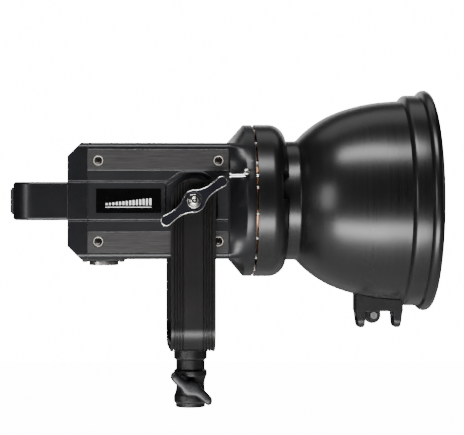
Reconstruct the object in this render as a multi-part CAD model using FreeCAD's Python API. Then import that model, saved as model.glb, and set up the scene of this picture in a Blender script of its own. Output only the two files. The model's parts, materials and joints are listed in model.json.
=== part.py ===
import FreeCAD, Part
import math
import os

# A studio monolight on a U-shaped yoke, with a bayonet bell reflector. Sizes are in millimetres.
# +X runs forward out of the reflector and +Z is up. The origin is the mouth of the stand socket's bore.
# Pieces of the lamp head are drawn about the tilt axis and lifted by tiltHeight as they are written.

os.makedirs("parts", exist_ok=True)

# ---- driving dimensions -------------------------------------------------------------------------
tiltHeight = 170.5          # stand socket's mouth to the tilt axis
bodyHalf = 47.0             # half the height and half the width of the square housing
bodyRear = -84.8            # rear end of the side panels
bodyFront = 28.5            # front end of the side panels
coverRound = 4.8            # radius along the housing's long corners
wall = 3.0                  # sheet and casting walls
panelWall = 3.5             # side panels
channelHalf = 15.5          # half height of the side channel, and of the rear handle
capLength = 16.2            # rear cap, front to back
capChamfer = 10.8
handleReach = 43.8          # rear cap to the back of the handle
handleArm = 10.0
handleBar = 14.8
handleCorner = 18.8
gripProud = 2.5
shellFlareStart = 29.9
shellFlareEnd = 43.0
shellFront = 50.0
ventGap = 2.0
ringFlat = 12.0             # straight part of the bayonet ring
ringRound = 13.8            # radius of the bayonet ring's front corner
ringSkin = 2.3              # bayonet ring's wall over the lugs
neckRadius = 49.2           # outside of the reflector's neck
lugReach = 10.4             # the reflector's bayonet lugs stand this far out from its neck
lugGap = 0.7                # radial clearance over the lugs
lugHalfAngle = 10.5
lugCount = 3
entryAngle = 13.0           # middle of the first entry notch, up from the right side
twistAngle = 26.0           # turn between the entry notch and the locked place
pinAngle = 20.5             # lock pin, up from the right side
pinRadius = 1.6
pinTravel = 7.0
sheet = 1.5                 # reflector's spun sheet
mouthRadius = 82.8          # bell just behind its step
bandStep = 4.6              # the rim's straight band stands this far out from the bell
beadRadius = 5.0
beadX = 193.2
yokeGap = 1.2               # side panel to the inside of a yoke leg
yokeThick = 5.8
yokeHalfWidth = 18.0
yokeDrop = 122.0            # tilt axis to the underside of the yoke
yokeBend = 20.0
pivotRadius = 3.95          # M8 shanks
threadGap = 0.05            # radial running fit of a screw in its thread
looseGap = 0.45             # radial clearance of a screw in a plain hole
freeGap = 0.3               # between pieces that move past each other
socketBore = 8.1            # for a 5/8 inch spigot
socketDepth = 27.5
socketHeight = 39.2
rodBore = 4.2               # for an 8 mm umbrella rod
rodStandoff = 13.4          # bell's mouth radius to the umbrella rod's axis
bracketRear = 136.6
bracketFront = 175.6
bracketHalfDepth = 12.5

# ---- derived places -----------------------------------------------------------------------------
capRear = bodyRear - capLength
handleRear = capRear - handleReach
ringRear = shellFront + ventGap
ringFront = ringRear + ringFlat + ringRound
panelReach = bodyHalf - 5.4          # side panels span this far above and below the axis
lugRadius = neckRadius + lugReach
pinOrbit = lugRadius - 1.1           # lock pin's distance from the lamp axis
cavityRadius = lugRadius + lugGap
shellRadius = cavityRadius + ringSkin
bandRadius = mouthRadius + bandStep
rodDrop = mouthRadius + rodStandoff
yokeInner = bodyHalf + yokeGap
yokeOuter = yokeInner + yokeThick
collarTop = tiltHeight - yokeDrop

Vec = FreeCAD.Vector
alongX = Vec(1, 0, 0)
alongY = Vec(0, 1, 0)
alongZ = Vec(0, 0, 1)
centre = Vec(0, 0, 0)
normals = {"xz": alongY, "yz": alongX, "xy": alongZ}


# ---- shape helpers ------------------------------------------------------------------------------
def box(xs, ys, zs):
    return Part.makeBox(xs[1] - xs[0], ys[1] - ys[0], zs[1] - zs[0], Vec(xs[0], ys[0], zs[0]))


def cyl(start, axis, length, radius):
    return Part.makeCylinder(radius, length, Vec(*start), axis)


def tube(start, axis, length, outer, inner):
    return cyl(start, axis, length, outer).cut(cyl(start, axis, length, inner))


def place(plane, a, b, depth):
    if plane == "xz":
        return Vec(a, depth, b)
    if plane == "yz":
        return Vec(depth, a, b)
    return Vec(a, b, depth)


def outline(plane, path, depth=0.0):
    # A step of two numbers is a straight line's end; four numbers are an arc's middle and end.
    here = place(plane, *path[0], depth)
    edges = []
    for step in list(path[1:]) + [path[0]]:
        end = place(plane, *step[-2:], depth)
        if len(step) == 4:
            edges.append(Part.Arc(here, place(plane, *step[:2], depth), end).toShape())
        elif (end - here).Length > 1e-6:
            edges.append(Part.makeLine(here, end))
        here = end
    return Part.Wire(edges)


def prism(plane, path, low, high):
    return Part.Face(outline(plane, path, low)).extrude(normals[plane] * (high - low))


def turned(path, axis=alongX):
    # About X the path holds (x, radius); about Z it holds (radius, z); about Y it holds (radius, y).
    plane = "xy" if axis == alongY else "xz"
    return Part.Face(outline(plane, path)).revolve(centre, axis, 360)


def roundedPath(halfA, halfB, radius, a=0.0, b=0.0):
    inner = radius * (1 - math.sqrt(0.5))
    path = [(a + halfA, b - halfB + radius), (a + halfA, b + halfB - radius)]
    corners = [(1, 1, "b"), (-1, 1, "a"), (-1, -1, "b"), (1, -1, "a")]
    for sideA, sideB, first in corners:
        endA = a + sideA * (halfA - (radius if first == "b" else 0))
        endB = b + sideB * (halfB - (0 if first == "b" else radius))
        path.append((a + sideA * (halfA - inner), b + sideB * (halfB - inner), endA, endB))
        nextA = a - sideA * (halfA - radius) if first == "b" else endA
        nextB = endB if first == "b" else b - sideB * (halfB - radius)
        path.append((nextA, nextB))
    return path[:-1]


def mirrored(shape):
    return shape.mirror(centre, alongY)


def bothSides(shape):
    return Part.makeCompound([shape, mirrored(shape)])


def turn(shape, degrees, axis=alongX, about=centre):
    copy = shape.copy()
    copy.rotate(about, axis, degrees)
    return copy


def shift(shape, x=0.0, y=0.0, z=0.0):
    copy = shape.copy()
    copy.translate(Vec(x, y, z))
    return copy


def group(shapes):
    return Part.makeCompound(shapes)


def fuse(shapes):
    whole = shapes[0].multiFuse(shapes[1:])
    return whole.removeSplitter()


def flatEdges(shape, axis, at, reach=0.01):
    # Edges that lie wholly in the plane at the given place along an axis.
    found = []
    for edge in shape.Edges:
        ends = [getattr(p, axis) for p in edge.discretize(5)]
        if max(abs(e - at) for e in ends) < reach:
            found.append(edge)
    return found


def crossScrew(radius, headHigh, shank, length, cross=0.9):
    # A pan screw along +Y, its head's outer face at y = 0 and its shank going inwards.
    head = cyl((0, 0, 0), alongY, headHigh, radius)
    head = head.makeChamfer(0.35 * headHigh, flatEdges(head, "y", 0.0))
    body = fuse([head, cyl((0, headHigh, 0), alongY, length, shank)])
    reach = 0.55 * radius
    depth = 0.7 * headHigh
    body = body.cut(box((-reach, reach), (0, depth), (-cross / 2, cross / 2)))
    return body.cut(box((-cross / 2, cross / 2), (0, depth), (-reach, reach)))


# ---- housing ------------------------------------------------------------------------------------
sideScrewX = (bodyRear + 8.6, bodyFront - 8.1)
sideScrewZ = bodyHalf - 14.5
sideScrewHead = 3.9
sideScrewShank = 1.7
stripStep = 24.7
stripFace = bodyHalf - 0.4
channelFace = bodyHalf - 1.0
grooveDepth = 1.6
grooveHalf = 0.7
pocketFace = bodyHalf - 2.3
pocketOuter = [(-24.2, 15.2), (-11.3, 24.1), (8.6, 24.1), (21.5, 15.2)]
pocketInset = 3.0


def pocketRing(inset, depth):
    upper = []
    for x, z in pocketOuter:
        upper.append((x - math.copysign(inset, x), z - inset))
    lower = [(x, -z) for x, z in reversed(upper)]
    return outline("xz", upper + lower, depth)


def sidePanel():
    inside = -(bodyHalf - panelWall)
    half = [(-stripFace, stripStep), (-stripFace, channelHalf + grooveHalf),
            (-(bodyHalf - grooveDepth), channelHalf), (-channelFace, channelHalf - grooveHalf)]
    upper = [(-bodyHalf, panelReach), (-bodyHalf, stripStep + 0.2)] + half
    lower = [(y, -z) for y, z in reversed(upper)]
    path = [(inside, panelReach)] + upper + lower + [(inside, -panelReach)]
    panel = prism("yz", path, bodyRear, bodyFront)
    pocket = Part.makeLoft([pocketRing(0.0, -bodyHalf), pocketRing(pocketInset, -pocketFace)], True, True)
    panel = panel.cut(pocket)
    panel = panel.cut(cyl((0, -bodyHalf, 0), alongY, 2 * panelWall, pivotRadius + looseGap))
    for x in sideScrewX:
        for z in (-sideScrewZ, sideScrewZ):
            panel = panel.cut(cyl((x, -bodyHalf, z), alongY, 1.6, sideScrewHead + 0.3))
            panel = panel.cut(cyl((x, -bodyHalf, z), alongY, 2 * panelWall, sideScrewShank + 0.15))
    return panel


def sideScrews():
    screw = crossScrew(sideScrewHead, 1.5, sideScrewShank, 9.0)
    near = [shift(screw, x, -bodyHalf + 0.05, z) for x in sideScrewX for z in (-sideScrewZ, sideScrewZ)]
    return group(near + [mirrored(s) for s in near])


def coverPath():
    inside = bodyHalf - wall
    skin = bodyHalf - panelWall
    low = panelReach
    corner = bodyHalf - coverRound
    arc = corner + coverRound * math.sqrt(0.5)
    return [(-bodyHalf, low), (-bodyHalf, corner), (-arc, arc, -corner, bodyHalf), (corner, bodyHalf),
            (arc, arc, bodyHalf, corner), (bodyHalf, low), (skin, low), (skin, inside),
            (-skin, inside), (-skin, low)]


def topCover():
    return prism("yz", coverPath(), bodyRear, bodyFront)


inletX = -71.4
inletHole = 10.4
inletPlateX = (-89.6, -54.0)
inletPlateHalf = 15.5
inletPlateHigh = 2.2
inletScrewX = (-86.8, -57.0)
inletScrewY = 12.5
inletScrewShank = 1.25
inletCollar = 13.4
inletShellRadius = 12.0
inletShellDrop = 6.1


def inletScrewPlaces():
    return [(x, y) for x in inletScrewX for y in (-inletScrewY, inletScrewY)]


def bottomCover():
    cover = turn(topCover(), 180, alongX)
    cover = cover.cut(cyl((inletX, 0, -bodyHalf - 1), alongZ, wall + 2, inletHole))
    for x, y in inletScrewPlaces():
        cover = cover.cut(cyl((x, y, -bodyHalf - 1), alongZ, wall + 2, inletScrewShank + 0.05))
    return cover


rearOpening = bodyHalf - 14.0
handleScrewY = bodyHalf - 7.0
handleScrewZ = 8.0
handleScrewShank = 2.0


def handleScrewPlaces():
    return [(y, z) for y in (-handleScrewY, handleScrewY) for z in (-handleScrewZ, handleScrewZ)]


def capBlock(shrink):
    rear = capRear + shrink
    half = bodyHalf - shrink
    chamfer = capChamfer - 0.4 * shrink
    profile = [(bodyRear, -half), (bodyRear, half), (rear + chamfer, half), (rear, half - chamfer),
               (rear, -half + chamfer), (rear + chamfer, -half)]
    side = prism("xz", profile, -half, half)
    radius = max(coverRound - shrink, 1.0)
    section = prism("yz", roundedPath(half, half, radius), rear, bodyRear)
    return side.common(section)


def rearCap():
    cap = capBlock(0.0).cut(capBlock(wall))
    opening = roundedPath(rearOpening, rearOpening, 3.0)
    cap = cap.cut(prism("yz", opening, capRear - 1, capRear + wall + 1))
    for z in (-channelHalf, channelHalf):
        groove = [(-bodyHalf, z - grooveHalf), (-bodyHalf + 1.2, z), (-bodyHalf, z + grooveHalf)]
        cut = prism("yz", groove, capRear, bodyRear)
        cap = cap.cut(cut).cut(mirrored(cut))
    for y, z in handleScrewPlaces():
        cap = cap.cut(cyl((capRear - 1, y, z), alongX, wall + 2, handleScrewShank + 0.1))
    for x, y in inletScrewPlaces():
        cap = cap.cut(cyl((x, y, -bodyHalf - 1), alongZ, wall + 2, inletScrewShank + 0.05))
    return cap


def chassisFrames():
    outerY = bodyHalf - panelWall - 0.05
    outerZ = bodyHalf - wall - 0.1
    frames = []
    for x in sideScrewX:
        frame = box((x - 5, x + 5), (-outerY, outerY), (-outerZ, outerZ))
        frame = frame.cut(box((x - 6, x + 6), (-outerY + 7.5, outerY - 7.5), (-outerZ + 7.5, outerZ - 7.5)))
        for z in (-sideScrewZ, sideScrewZ):
            hole = cyl((x, -bodyHalf, z), alongY, 2 * bodyHalf, sideScrewShank + 0.05)
            frame = frame.cut(hole)
        frames.append(frame.cut(cyl((inletX, 0, -bodyHalf), alongZ, bodyHalf, inletHole + 1)))
    return group(frames)


badgeX = (-78.0, -26.0)
badgeHalf = 9.6


def badgePlates():
    length = (badgeX[1] - badgeX[0]) / 2
    middle = (badgeX[1] + badgeX[0]) / 2
    plate = prism("xz", roundedPath(length, badgeHalf, 0.8, middle, 0), -channelFace - 0.8, -channelFace)
    return bothSides(plate)


# ---- rear handle --------------------------------------------------------------------------------
handleEdge = 2.4
gripHalfHeight = 11.0
gripHalfWidth = 29.0
gripSeat = 1.2


def handleBlock():
    y = bodyHalf
    bend = handleCorner * (1 - math.sqrt(0.5))
    innerY = y - handleArm
    innerX = handleRear + handleBar
    innerR = handleCorner - handleArm
    innerBend = innerR * (1 - math.sqrt(0.5))
    path = [(capRear, -y), (capRear, -innerY), (innerX + innerR, -innerY),
            (innerX + innerBend, -innerY + innerBend, innerX, -innerY + innerR),
            (innerX, innerY - innerR),
            (innerX + innerBend, innerY - innerBend, innerX + innerR, innerY),
            (capRear, innerY), (capRear, y), (handleRear + handleCorner, y),
            (handleRear + bend, y - bend, handleRear, y - handleCorner),
            (handleRear, -y + handleCorner),
            (handleRear + bend, -y + bend, handleRear + handleCorner, -y)]
    block = prism("xy", path, -channelHalf, channelHalf)
    rims = []
    for edge in flatEdges(block, "z", channelHalf) + flatEdges(block, "z", -channelHalf):
        if min(p.x for p in edge.discretize(3)) < capRear - 1e-3:
            rims.append(edge)
    return block.makeFillet(handleEdge, rims)


def gripBlock(grow=0.0):
    halfY = gripHalfWidth + grow
    halfZ = gripHalfHeight + grow
    return prism("yz", roundedPath(halfY, halfZ, 5.0), handleRear - gripProud, handleRear + gripSeat)


def rearHandle():
    handle = handleBlock().cut(gripBlock())
    for y, z in handleScrewPlaces():
        handle = handle.cut(cyl((capRear - 11, y, z), alongX, 12, handleScrewShank + 0.05))
    return handle


def handleGrip():
    grip = gripBlock()
    return grip.makeFillet(1.8, flatEdges(grip, "x", handleRear - gripProud))


def handleScrews():
    screws = []
    for y, z in handleScrewPlaces():
        head = cyl((capRear + wall, y, z), alongX, 3.0, 3.4)
        head = head.cut(box((capRear + wall + 1.4, capRear + wall + 4), (y - 2, y + 2), (z - 0.5, z + 0.5)))
        shank = cyl((capRear - 10, y, z), alongX, 10 + wall, handleScrewShank)
        screws.append(fuse([head, shank]))
    return group(screws)


# ---- rear control panel -------------------------------------------------------------------------
panelFace = capRear + 1.4
panelBack = panelFace + 2.4
displayHalf = (22.0, 9.0)
displayZ = 20.5
buttonZ = -21.0
buttonY = (-18.0, 0.0, 18.0)
buttonHalf = (5.5, 2.4)
buttonTravel = 0.8
knobZ = 0.0
knobY = (-21.0, -2.0)
knobRadius = 6.8
knobHigh = 8.0
knobShaft = 3.0
switchY = 19.0
switchHalf = (6.0, 8.5)
switchWall = 1.2
boardX = capRear + 8.6
boardThick = 1.6


def controlPanel():
    half = rearOpening - 0.15
    seat = rearOpening + 1.2
    plate = prism("yz", roundedPath(half, half, 2.9), panelFace, panelBack)
    panel = fuse([plate, prism("yz", roundedPath(seat, seat, 4.0), capRear + wall, panelBack)])
    window = roundedPath(displayHalf[0] + 0.1, displayHalf[1] + 0.1, 1.0, 0, displayZ)
    panel = panel.cut(prism("yz", window, panelFace - 1, panelFace + 1.4))
    opening = roundedPath(displayHalf[0] - 2, displayHalf[1] - 2, 1.0, 0, displayZ)
    panel = panel.cut(prism("yz", opening, panelFace - 1, panelBack + 1))
    for y in buttonY:
        hole = roundedPath(buttonHalf[0] + freeGap, buttonHalf[1] + freeGap, 1.6, y, buttonZ)
        panel = panel.cut(prism("yz", hole, panelFace - 1, panelBack + 1))
    for y in knobY:
        panel = panel.cut(cyl((panelFace - 1, y, knobZ), alongX, 5, knobShaft + freeGap))
    hole = roundedPath(switchHalf[0], switchHalf[1], 1.0, switchY, knobZ)
    panel = panel.cut(prism("yz", hole, panelFace - 1, panelBack + 1))
    bosses = [cyl((panelBack, y, z), alongX, boardX - panelBack, 2.2) for y in (-28, 28) for z in (-28, 28)]
    return fuse([panel] + bosses)


def displayWindow():
    path = roundedPath(displayHalf[0], displayHalf[1], 0.9, 0, displayZ)
    return prism("yz", path, panelFace - 0.1, panelFace + 1.4)


def pushButton(y):
    cap = prism("yz", roundedPath(buttonHalf[0], buttonHalf[1], 1.3, y, buttonZ), panelFace - 1.3, panelBack + 0.2)
    cap = cap.makeFillet(0.5, flatEdges(cap, "x", panelFace - 1.3))
    stem = cyl((panelBack + 0.2, y, buttonZ), alongX, 0.8, 1.6)
    return fuse([cap, stem])


def knurledKnob(y):
    front = panelFace - 0.3 - knobHigh
    knob = cyl((front, y, knobZ), alongX, knobHigh, knobRadius)
    knob = knob.makeChamfer(0.8, flatEdges(knob, "x", front))
    flutes = []
    count = 24
    for i in range(count):
        angle = 2 * math.pi * i / count
        a = y + (knobRadius + 0.25) * math.cos(angle)
        b = knobZ + (knobRadius + 0.25) * math.sin(angle)
        flutes.append(cyl((front - 1, a, b), alongX, knobHigh - 0.8, 0.6))
    knob = knob.cut(group(flutes))
    shaft = cyl((panelFace - 0.3, y, knobZ), alongX, 3.8, knobShaft)
    return fuse([knob, shaft])


def encoders():
    bodies = []
    for y in knobY:
        block = box((boardX - 2.6, boardX), (y - 6, y + 6), (knobZ - 6, knobZ + 6))
        bodies.append(block)
    return group(bodies)


def tactSwitches():
    caps = []
    for y in buttonY:
        base = box((boardX - 1.4, boardX), (y - 3, y + 3), (buttonZ - 2.5, buttonZ + 2.5))
        caps.append(fuse([base, cyl((boardX - 2.1, y, buttonZ), alongX, 0.8, 1.5)]))
    return group(caps)


def controlBoard():
    board = box((boardX, boardX + boardThick), (-31, 31), (-31, 31))
    return board.cut(box((boardX - 1, boardX + 3), (switchY - 7, 32), (knobZ - 10, knobZ + 10)))


def switchFrame():
    outer = roundedPath(switchHalf[0] - 0.05, switchHalf[1] - 0.05, 1.0, switchY, knobZ)
    lip = roundedPath(switchHalf[0] + 1.2, switchHalf[1] + 1.2, 1.2, switchY, knobZ)
    hole = roundedPath(switchHalf[0] - switchWall, switchHalf[1] - switchWall, 0.6, switchY, knobZ)
    frame = fuse([prism("yz", lip, panelFace - 1.0, panelFace),
                  prism("yz", outer, panelFace, panelFace + 11)])
    return frame.cut(prism("yz", hole, panelFace - 2, panelFace + 9.5))


rockerPivot = (panelFace + 2.2, knobZ)
rockerRadius = 7.0


def powerRocker():
    halfY = switchHalf[0] - switchWall - freeGap
    halfZ = switchHalf[1] - switchWall - freeGap - 0.25
    x, z = rockerPivot
    # The two faces meet at a shallow valley; the lower half stands pressed in.
    path = [(x - 3.2, z + halfZ - 0.5), (x - 1.5, z), (x - 1.0, z - halfZ + 0.3), (x + 2.4, z - halfZ + 0.9),
            (x + 3.6, z), (x + 2.4, z + halfZ - 0.9), (x - 2.4, z + halfZ - 0.1)]
    return prism("xz", path, switchY - halfY, switchY + halfY)


# ---- front housing, vents and bayonet -----------------------------------------------------------
def squareWire(half, radius, x):
    # A rounded square in eight edges, each corner arc followed by a straight side.
    edges = []
    inner = half - radius
    for quarter in range(4):
        middle = Vec(x, *rotated(inner, inner, 90 * quarter))
        points = []
        for bearing in (90 * quarter, 90 * quarter + 45, 90 * quarter + 90):
            angle = math.radians(bearing)
            points.append(middle + Vec(0, radius * math.cos(angle), radius * math.sin(angle)))
        edges.append(Part.Arc(*points).toShape())
        following = Vec(x, *rotated(half, inner, 90 * (quarter + 1)))
        edges.append(Part.makeLine(points[2], following))
    return Part.Wire(edges)


def rotated(a, b, degrees):
    c, s = math.cos(math.radians(degrees)), math.sin(math.radians(degrees))
    return (a * c - b * s, a * s + b * c)


def circleWire(radius, half, corner, x):
    # The same eight edges on a circle, split at the bearings of the square's corners.
    split = math.degrees(math.atan2(half - corner, half))
    edges = []
    for quarter in range(4):
        stops = [90 * quarter + split, 90 * quarter + 90 - split, 90 * quarter + 90 + split]
        for a, b in zip(stops, stops[1:]):
            points = [Vec(x, radius * math.cos(math.radians(t)), radius * math.sin(math.radians(t)))
                      for t in (a, (a + b) / 2, b)]
            edges.append(Part.Arc(*points).toShape())
    return Part.Wire(edges)


def shellSolid(shrink, rear, front):
    half = bodyHalf - shrink
    corner = max(coverRound - shrink, 1.5)
    radius = shellRadius - shrink
    square = squareWire(half, corner, shellFlareStart)
    flare = Part.makeLoft([square, circleWire(radius, half, corner, shellFlareEnd)], True, True)
    base = prism("yz", roundedPath(half, half, corner), rear, shellFlareStart)
    drum = cyl((shellFlareEnd, 0, 0), alongX, front - shellFlareEnd, radius)
    return fuse([base, flare, drum])


def polar(radius, degrees):
    # The bearing is measured up from the lamp's right side, which faces -Y.
    angle = math.radians(degrees)
    return (-radius * math.cos(angle), radius * math.sin(angle))


def pinPlace(radius=pinOrbit):
    return polar(radius, pinAngle)


knobSeatX = shellFlareEnd - 0.8
slotHalf = 2.3
rodTail = bodyFront + 1.4
tailRadius = 2.5
tailThick = 1.2


def pinTunnel(start, length, gap=0.4):
    y, z = pinPlace()
    return cyl((start, y, z), alongX, length, pinRadius + gap)


def frontShell():
    shell = shellSolid(0.0, bodyFront, shellFront).cut(shellSolid(wall, bodyFront - 1, shellFront + 1))
    # A thick land inside the shell carries the release slider.
    land = box((bodyFront + 1, shellFront - 0.1), (-shellRadius - 4, -pinOrbit + 5), (-7.5, 7.5))
    land = turn(land, -pinAngle).common(shellSolid(0.3, bodyFront, shellFront))
    shell = fuse([shell, land])
    shell = shell.cut(pinTunnel(bodyFront - 1, shellFront - bodyFront + 2))
    shell = shell.cut(pinTunnel(bodyFront - 1, tailThick + 2, tailRadius - pinRadius + freeGap))
    reach = (knobSeatX - pinTravel - slotHalf - 0.4, knobSeatX + slotHalf + 0.4)
    slot = box(reach, (-shellRadius - 8, -pinOrbit), (-slotHalf, slotHalf))
    return shell.cut(turn(slot, -pinAngle))


ventRibs = 18
ventRoot = neckRadius + 1.2
ventRibHalf = 0.9


def ventRing():
    plate = tube((shellFront, 0, 0), alongX, 0.6, shellRadius - 0.9, ventRoot)
    ribs = []
    for i in range(ventRibs):
        rib = box((shellFront, shellFront + ventGap), (-shellRadius + 1.1, -ventRoot - 2.5),
                  (-ventRibHalf, ventRibHalf))
        ribs.append(turn(rib, -(pinAngle + 10 + 20 * i)))
    return fuse([plate] + ribs).cut(pinTunnel(shellFront - 1, ventGap + 2))


cavityFront = ringRear + 14.4
lipRadius = neckRadius + lugGap
flangeInner = neckRadius - 4.6
ringBore = flangeInner + 1.4


def sector(radius, halfAngle, low, high):
    # A wedge about the lamp axis, centred on the right side's bearing.
    steps = 6
    points = [(0.0, 0.0)]
    for i in range(steps + 1):
        points.append(polar(radius, -halfAngle + 2 * halfAngle * i / steps))
    return prism("yz", points, low, high)


def bayonetRing():
    flatEnd = ringRear + ringFlat
    arc = ringRound * math.sqrt(0.5)
    cornerR = shellRadius + 0.2 - ringRound
    path = [(ringRear, ringBore), (ringRear, shellRadius + 0.2), (flatEnd, shellRadius + 0.2),
            (flatEnd + arc, cornerR + arc, ringFront - 0.05, cornerR + 1.2),
            (ringFront - 0.05, lipRadius), (cavityFront, lipRadius), (cavityFront, cavityRadius),
            (ringRear + wall, cavityRadius), (ringRear + wall, ringBore)]
    ring = turned(path)
    notch = sector(2 * shellRadius, lugHalfAngle + 1.0, cavityFront - 1, ringFront + 1)
    notch = notch.common(cyl((cavityFront - 1, 0, 0), alongX, ringRound + 10, cavityRadius))
    for i in range(lugCount):
        ring = ring.cut(turn(notch, -(entryAngle + 120 * i)))
    return ring.cut(pinTunnel(ringRear - 1, ringFront - ringRear + 2))


# ---- lamp engine --------------------------------------------------------------------------------
spreaderX = (ringRear - 4.6, ringRear)
boardHalf = 22.0
emitterRadius = 16.0
finHalf = 34.5
finCount = 15
pipeRadius = 3.0
pipePlaces = [(y, z) for y in (-21, -7, 7, 21) for z in (-14, 14)]


def heatSpreader():
    plate = cyl((spreaderX[0], 0, 0), alongX, spreaderX[1] - spreaderX[0], ventRoot - 0.5)
    for y, z in pipePlaces:
        plate = plate.cut(cyl((spreaderX[0] - 1, y, z), alongX, 2.6, pipeRadius + 0.05))
    return plate


def heatPipes():
    return group([cyl((4.0, y, z), alongX, spreaderX[0] + 1.5 - 4.0, pipeRadius) for y, z in pipePlaces])


def heatFins():
    fins = []
    for i in range(finCount):
        fin = box((6 + 2.7 * i, 6.8 + 2.7 * i), (-finHalf, finHalf), (-finHalf, finHalf))
        for y, z in pipePlaces:
            fin = fin.cut(cyl((0, y, z), alongX, 60, pipeRadius + 0.05))
        fins.append(fin)
    return group(fins)


def lampPlate():
    plate = cyl((spreaderX[1], 0, 0), alongX, 1.7, ringBore - 0.2)
    return plate.cut(box((ringRear - 1, ringRear + 4), (-boardHalf - 0.2, boardHalf + 0.2),
                         (-boardHalf - 0.2, boardHalf + 0.2)))


def ledBoard():
    return box((spreaderX[1], spreaderX[1] + 2.2), (-boardHalf, boardHalf), (-boardHalf, boardHalf))


def ledEmitter():
    return cyl((spreaderX[1] + 2.2, 0, 0), alongX, 0.7, emitterRadius)


def ledClamp():
    face = spreaderX[1] + 2.2
    clamp = turned([(face, emitterRadius + 0.6), (face + 3.4, emitterRadius + 3.2), (face + 3.4, boardHalf - 1),
                    (face, boardHalf - 0.5)])
    for sideY, sideZ in ((1, 1), (-1, -1)):
        a = 15.2
        clamp = clamp.cut(cyl((face - 1, sideY * a, sideZ * a * 0.9), alongX, 3, 0.9))
    return clamp


fanX = (-30.0, -15.0)
fanHalf = bodyHalf - panelWall
fanBore = fanHalf - 6.0
hubRadius = 15.5
bladeCount = 7


def fanFrame():
    frame = prism("yz", roundedPath(fanHalf, fanHalf, 5.0), *fanX)
    frame = frame.cut(cyl((fanX[0] - 1, 0, 0), alongX, 17, fanBore))
    motor = cyl((fanX[0], 0, 0), alongX, 2.4, hubRadius)
    spokes = [turn(box((fanX[0], fanX[0] + 2.4), (-fanBore - 1, -hubRadius + 1), (-2, 2)), 45 + 90 * i)
              for i in range(4)]
    axle = cyl((fanX[0] + 2.4, 0, 0), alongX, 8.0, 1.5)
    return fuse([frame, motor, axle] + spokes)


def fanRotor():
    low = fanX[0] + 2.4 + freeGap + 0.2
    hub = cyl((low, 0, 0), alongX, fanX[1] - low, hubRadius)
    hub = hub.cut(cyl((low - 1, 0, 0), alongX, 10.0, 1.5 + threadGap))
    blades = []
    for i in range(bladeCount):
        blade = box((low + 1, fanX[1] - 1), (-fanBore + 1.2, -hubRadius + 1), (-0.8, 0.8))
        blade = turn(blade, 38, alongY, Vec((low + fanX[1]) / 2, 0, 0))
        blade = blade.common(box((low + 0.3, fanX[1] - 0.3), (-50, 50), (-50, 50)))
        blades.append(turn(blade, 360 / bladeCount * i))
    return fuse([hub] + blades)


driverX = (-68.0, -34.0)
driverZ = -bodyHalf + 16.0
standoffPlaces = [(x, y) for x in (driverX[0] + 4, driverX[1] - 4) for y in (-27, 27)]


def driverBoard():
    board = box(driverX, (-31, 31), (driverZ, driverZ + 1.6))
    for x, y in standoffPlaces:
        board = board.cut(cyl((x, y, driverZ - 1), alongZ, 4, 1.6))
    return board


def driverParts():
    top = driverZ + 1.6
    parts = [box((-64, -44), (-9, 13), (top, top + 20)), box((-42, -36), (-24, -8), (top, top + 16))]
    for x, y in ((-60, -20), (-49, -20), (-40, 6), (-40, 20)):
        can = cyl((x, y, top), alongZ, 18, 4.8)
        parts.append(can.makeFillet(0.8, flatEdges(can, "z", top + 18)))
    return group(parts)


def boardStandoffs():
    low = -bodyHalf + wall
    posts = []
    for x, y in standoffPlaces:
        post = cyl((x, y, low), alongZ, driverZ - low, 3.0)
        stud = cyl((x, y, driverZ), alongZ, 2.6, 1.5)
        posts.append(fuse([post, stud]))
    return group(posts)


# ---- power inlet --------------------------------------------------------------------------------
def inletPlate():
    low = -bodyHalf - inletPlateHigh
    halfX = (inletPlateX[1] - inletPlateX[0]) / 2
    middle = (inletPlateX[1] + inletPlateX[0]) / 2
    plate = prism("xy", roundedPath(halfX, inletPlateHalf, 2.5, middle, 0), low, -bodyHalf)
    plate = fuse([plate, cyl((inletX, 0, low - 1.0), alongZ, 1.0 + inletPlateHigh, inletCollar)])
    for x, y in inletScrewPlaces():
        plate = plate.cut(cyl((x, y, low - 2), alongZ, 8, inletScrewShank + 0.05))
    return plate.cut(cyl((inletX, 0, low - 2), alongZ, 8, inletHole - 0.2))


def inletShell():
    low = -bodyHalf - inletShellDrop
    seat = -bodyHalf - inletPlateHigh - 1.0
    ring = tube((inletX, 0, low), alongZ, seat - low, inletShellRadius, 9.0)
    sleeve = tube((inletX, 0, seat), alongZ, 12.0, inletHole - 0.3, 9.0)
    return fuse([ring, sleeve])


def inletCore():
    low = -bodyHalf + 1.5
    core = cyl((inletX, 0, low), alongZ, 10.0, 8.9)
    for i in range(4):
        y, z = rotated(4.6, 0, 45 + 90 * i)
        core = core.cut(cyl((inletX + y, z, low - 1), alongZ, 7, 1.05))
    return core


def inletPins():
    low = -bodyHalf - 1.5
    pins = []
    for i in range(4):
        y, z = rotated(4.6, 0, 45 + 90 * i)
        pin = cyl((inletX + y, z, low), alongZ, 8.4, 1.0)
        pins.append(pin.makeFillet(0.5, flatEdges(pin, "z", low)))
    return group(pins)


def inletScrews():
    low = -bodyHalf - inletPlateHigh
    screws = []
    for x, y in inletScrewPlaces():
        screw = turn(crossScrew(2.2, 1.1, inletScrewShank, 5.0, 0.6), 90, alongX)
        screws.append(shift(screw, x, y, low - 1.1))
    return group(screws)


# ---- tilt pivot, yoke and levers ----------------------------------------------------------------
discRadius = 12.0
blockInner = bodyHalf - 10.6


def pivotBlocks():
    block = box((-13, 13), (-bodyHalf + panelWall + 0.05, -blockInner), (-15, 15))
    block = block.cut(cyl((0, -bodyHalf, 0), alongY, 20, pivotRadius + threadGap))
    return bothSides(block)


def pivotDiscs():
    disc = tube((0, -yokeInner + freeGap, 0), alongY, yokeInner - freeGap - pocketFace, discRadius,
                pivotRadius + looseGap)
    return bothSides(disc)


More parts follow.
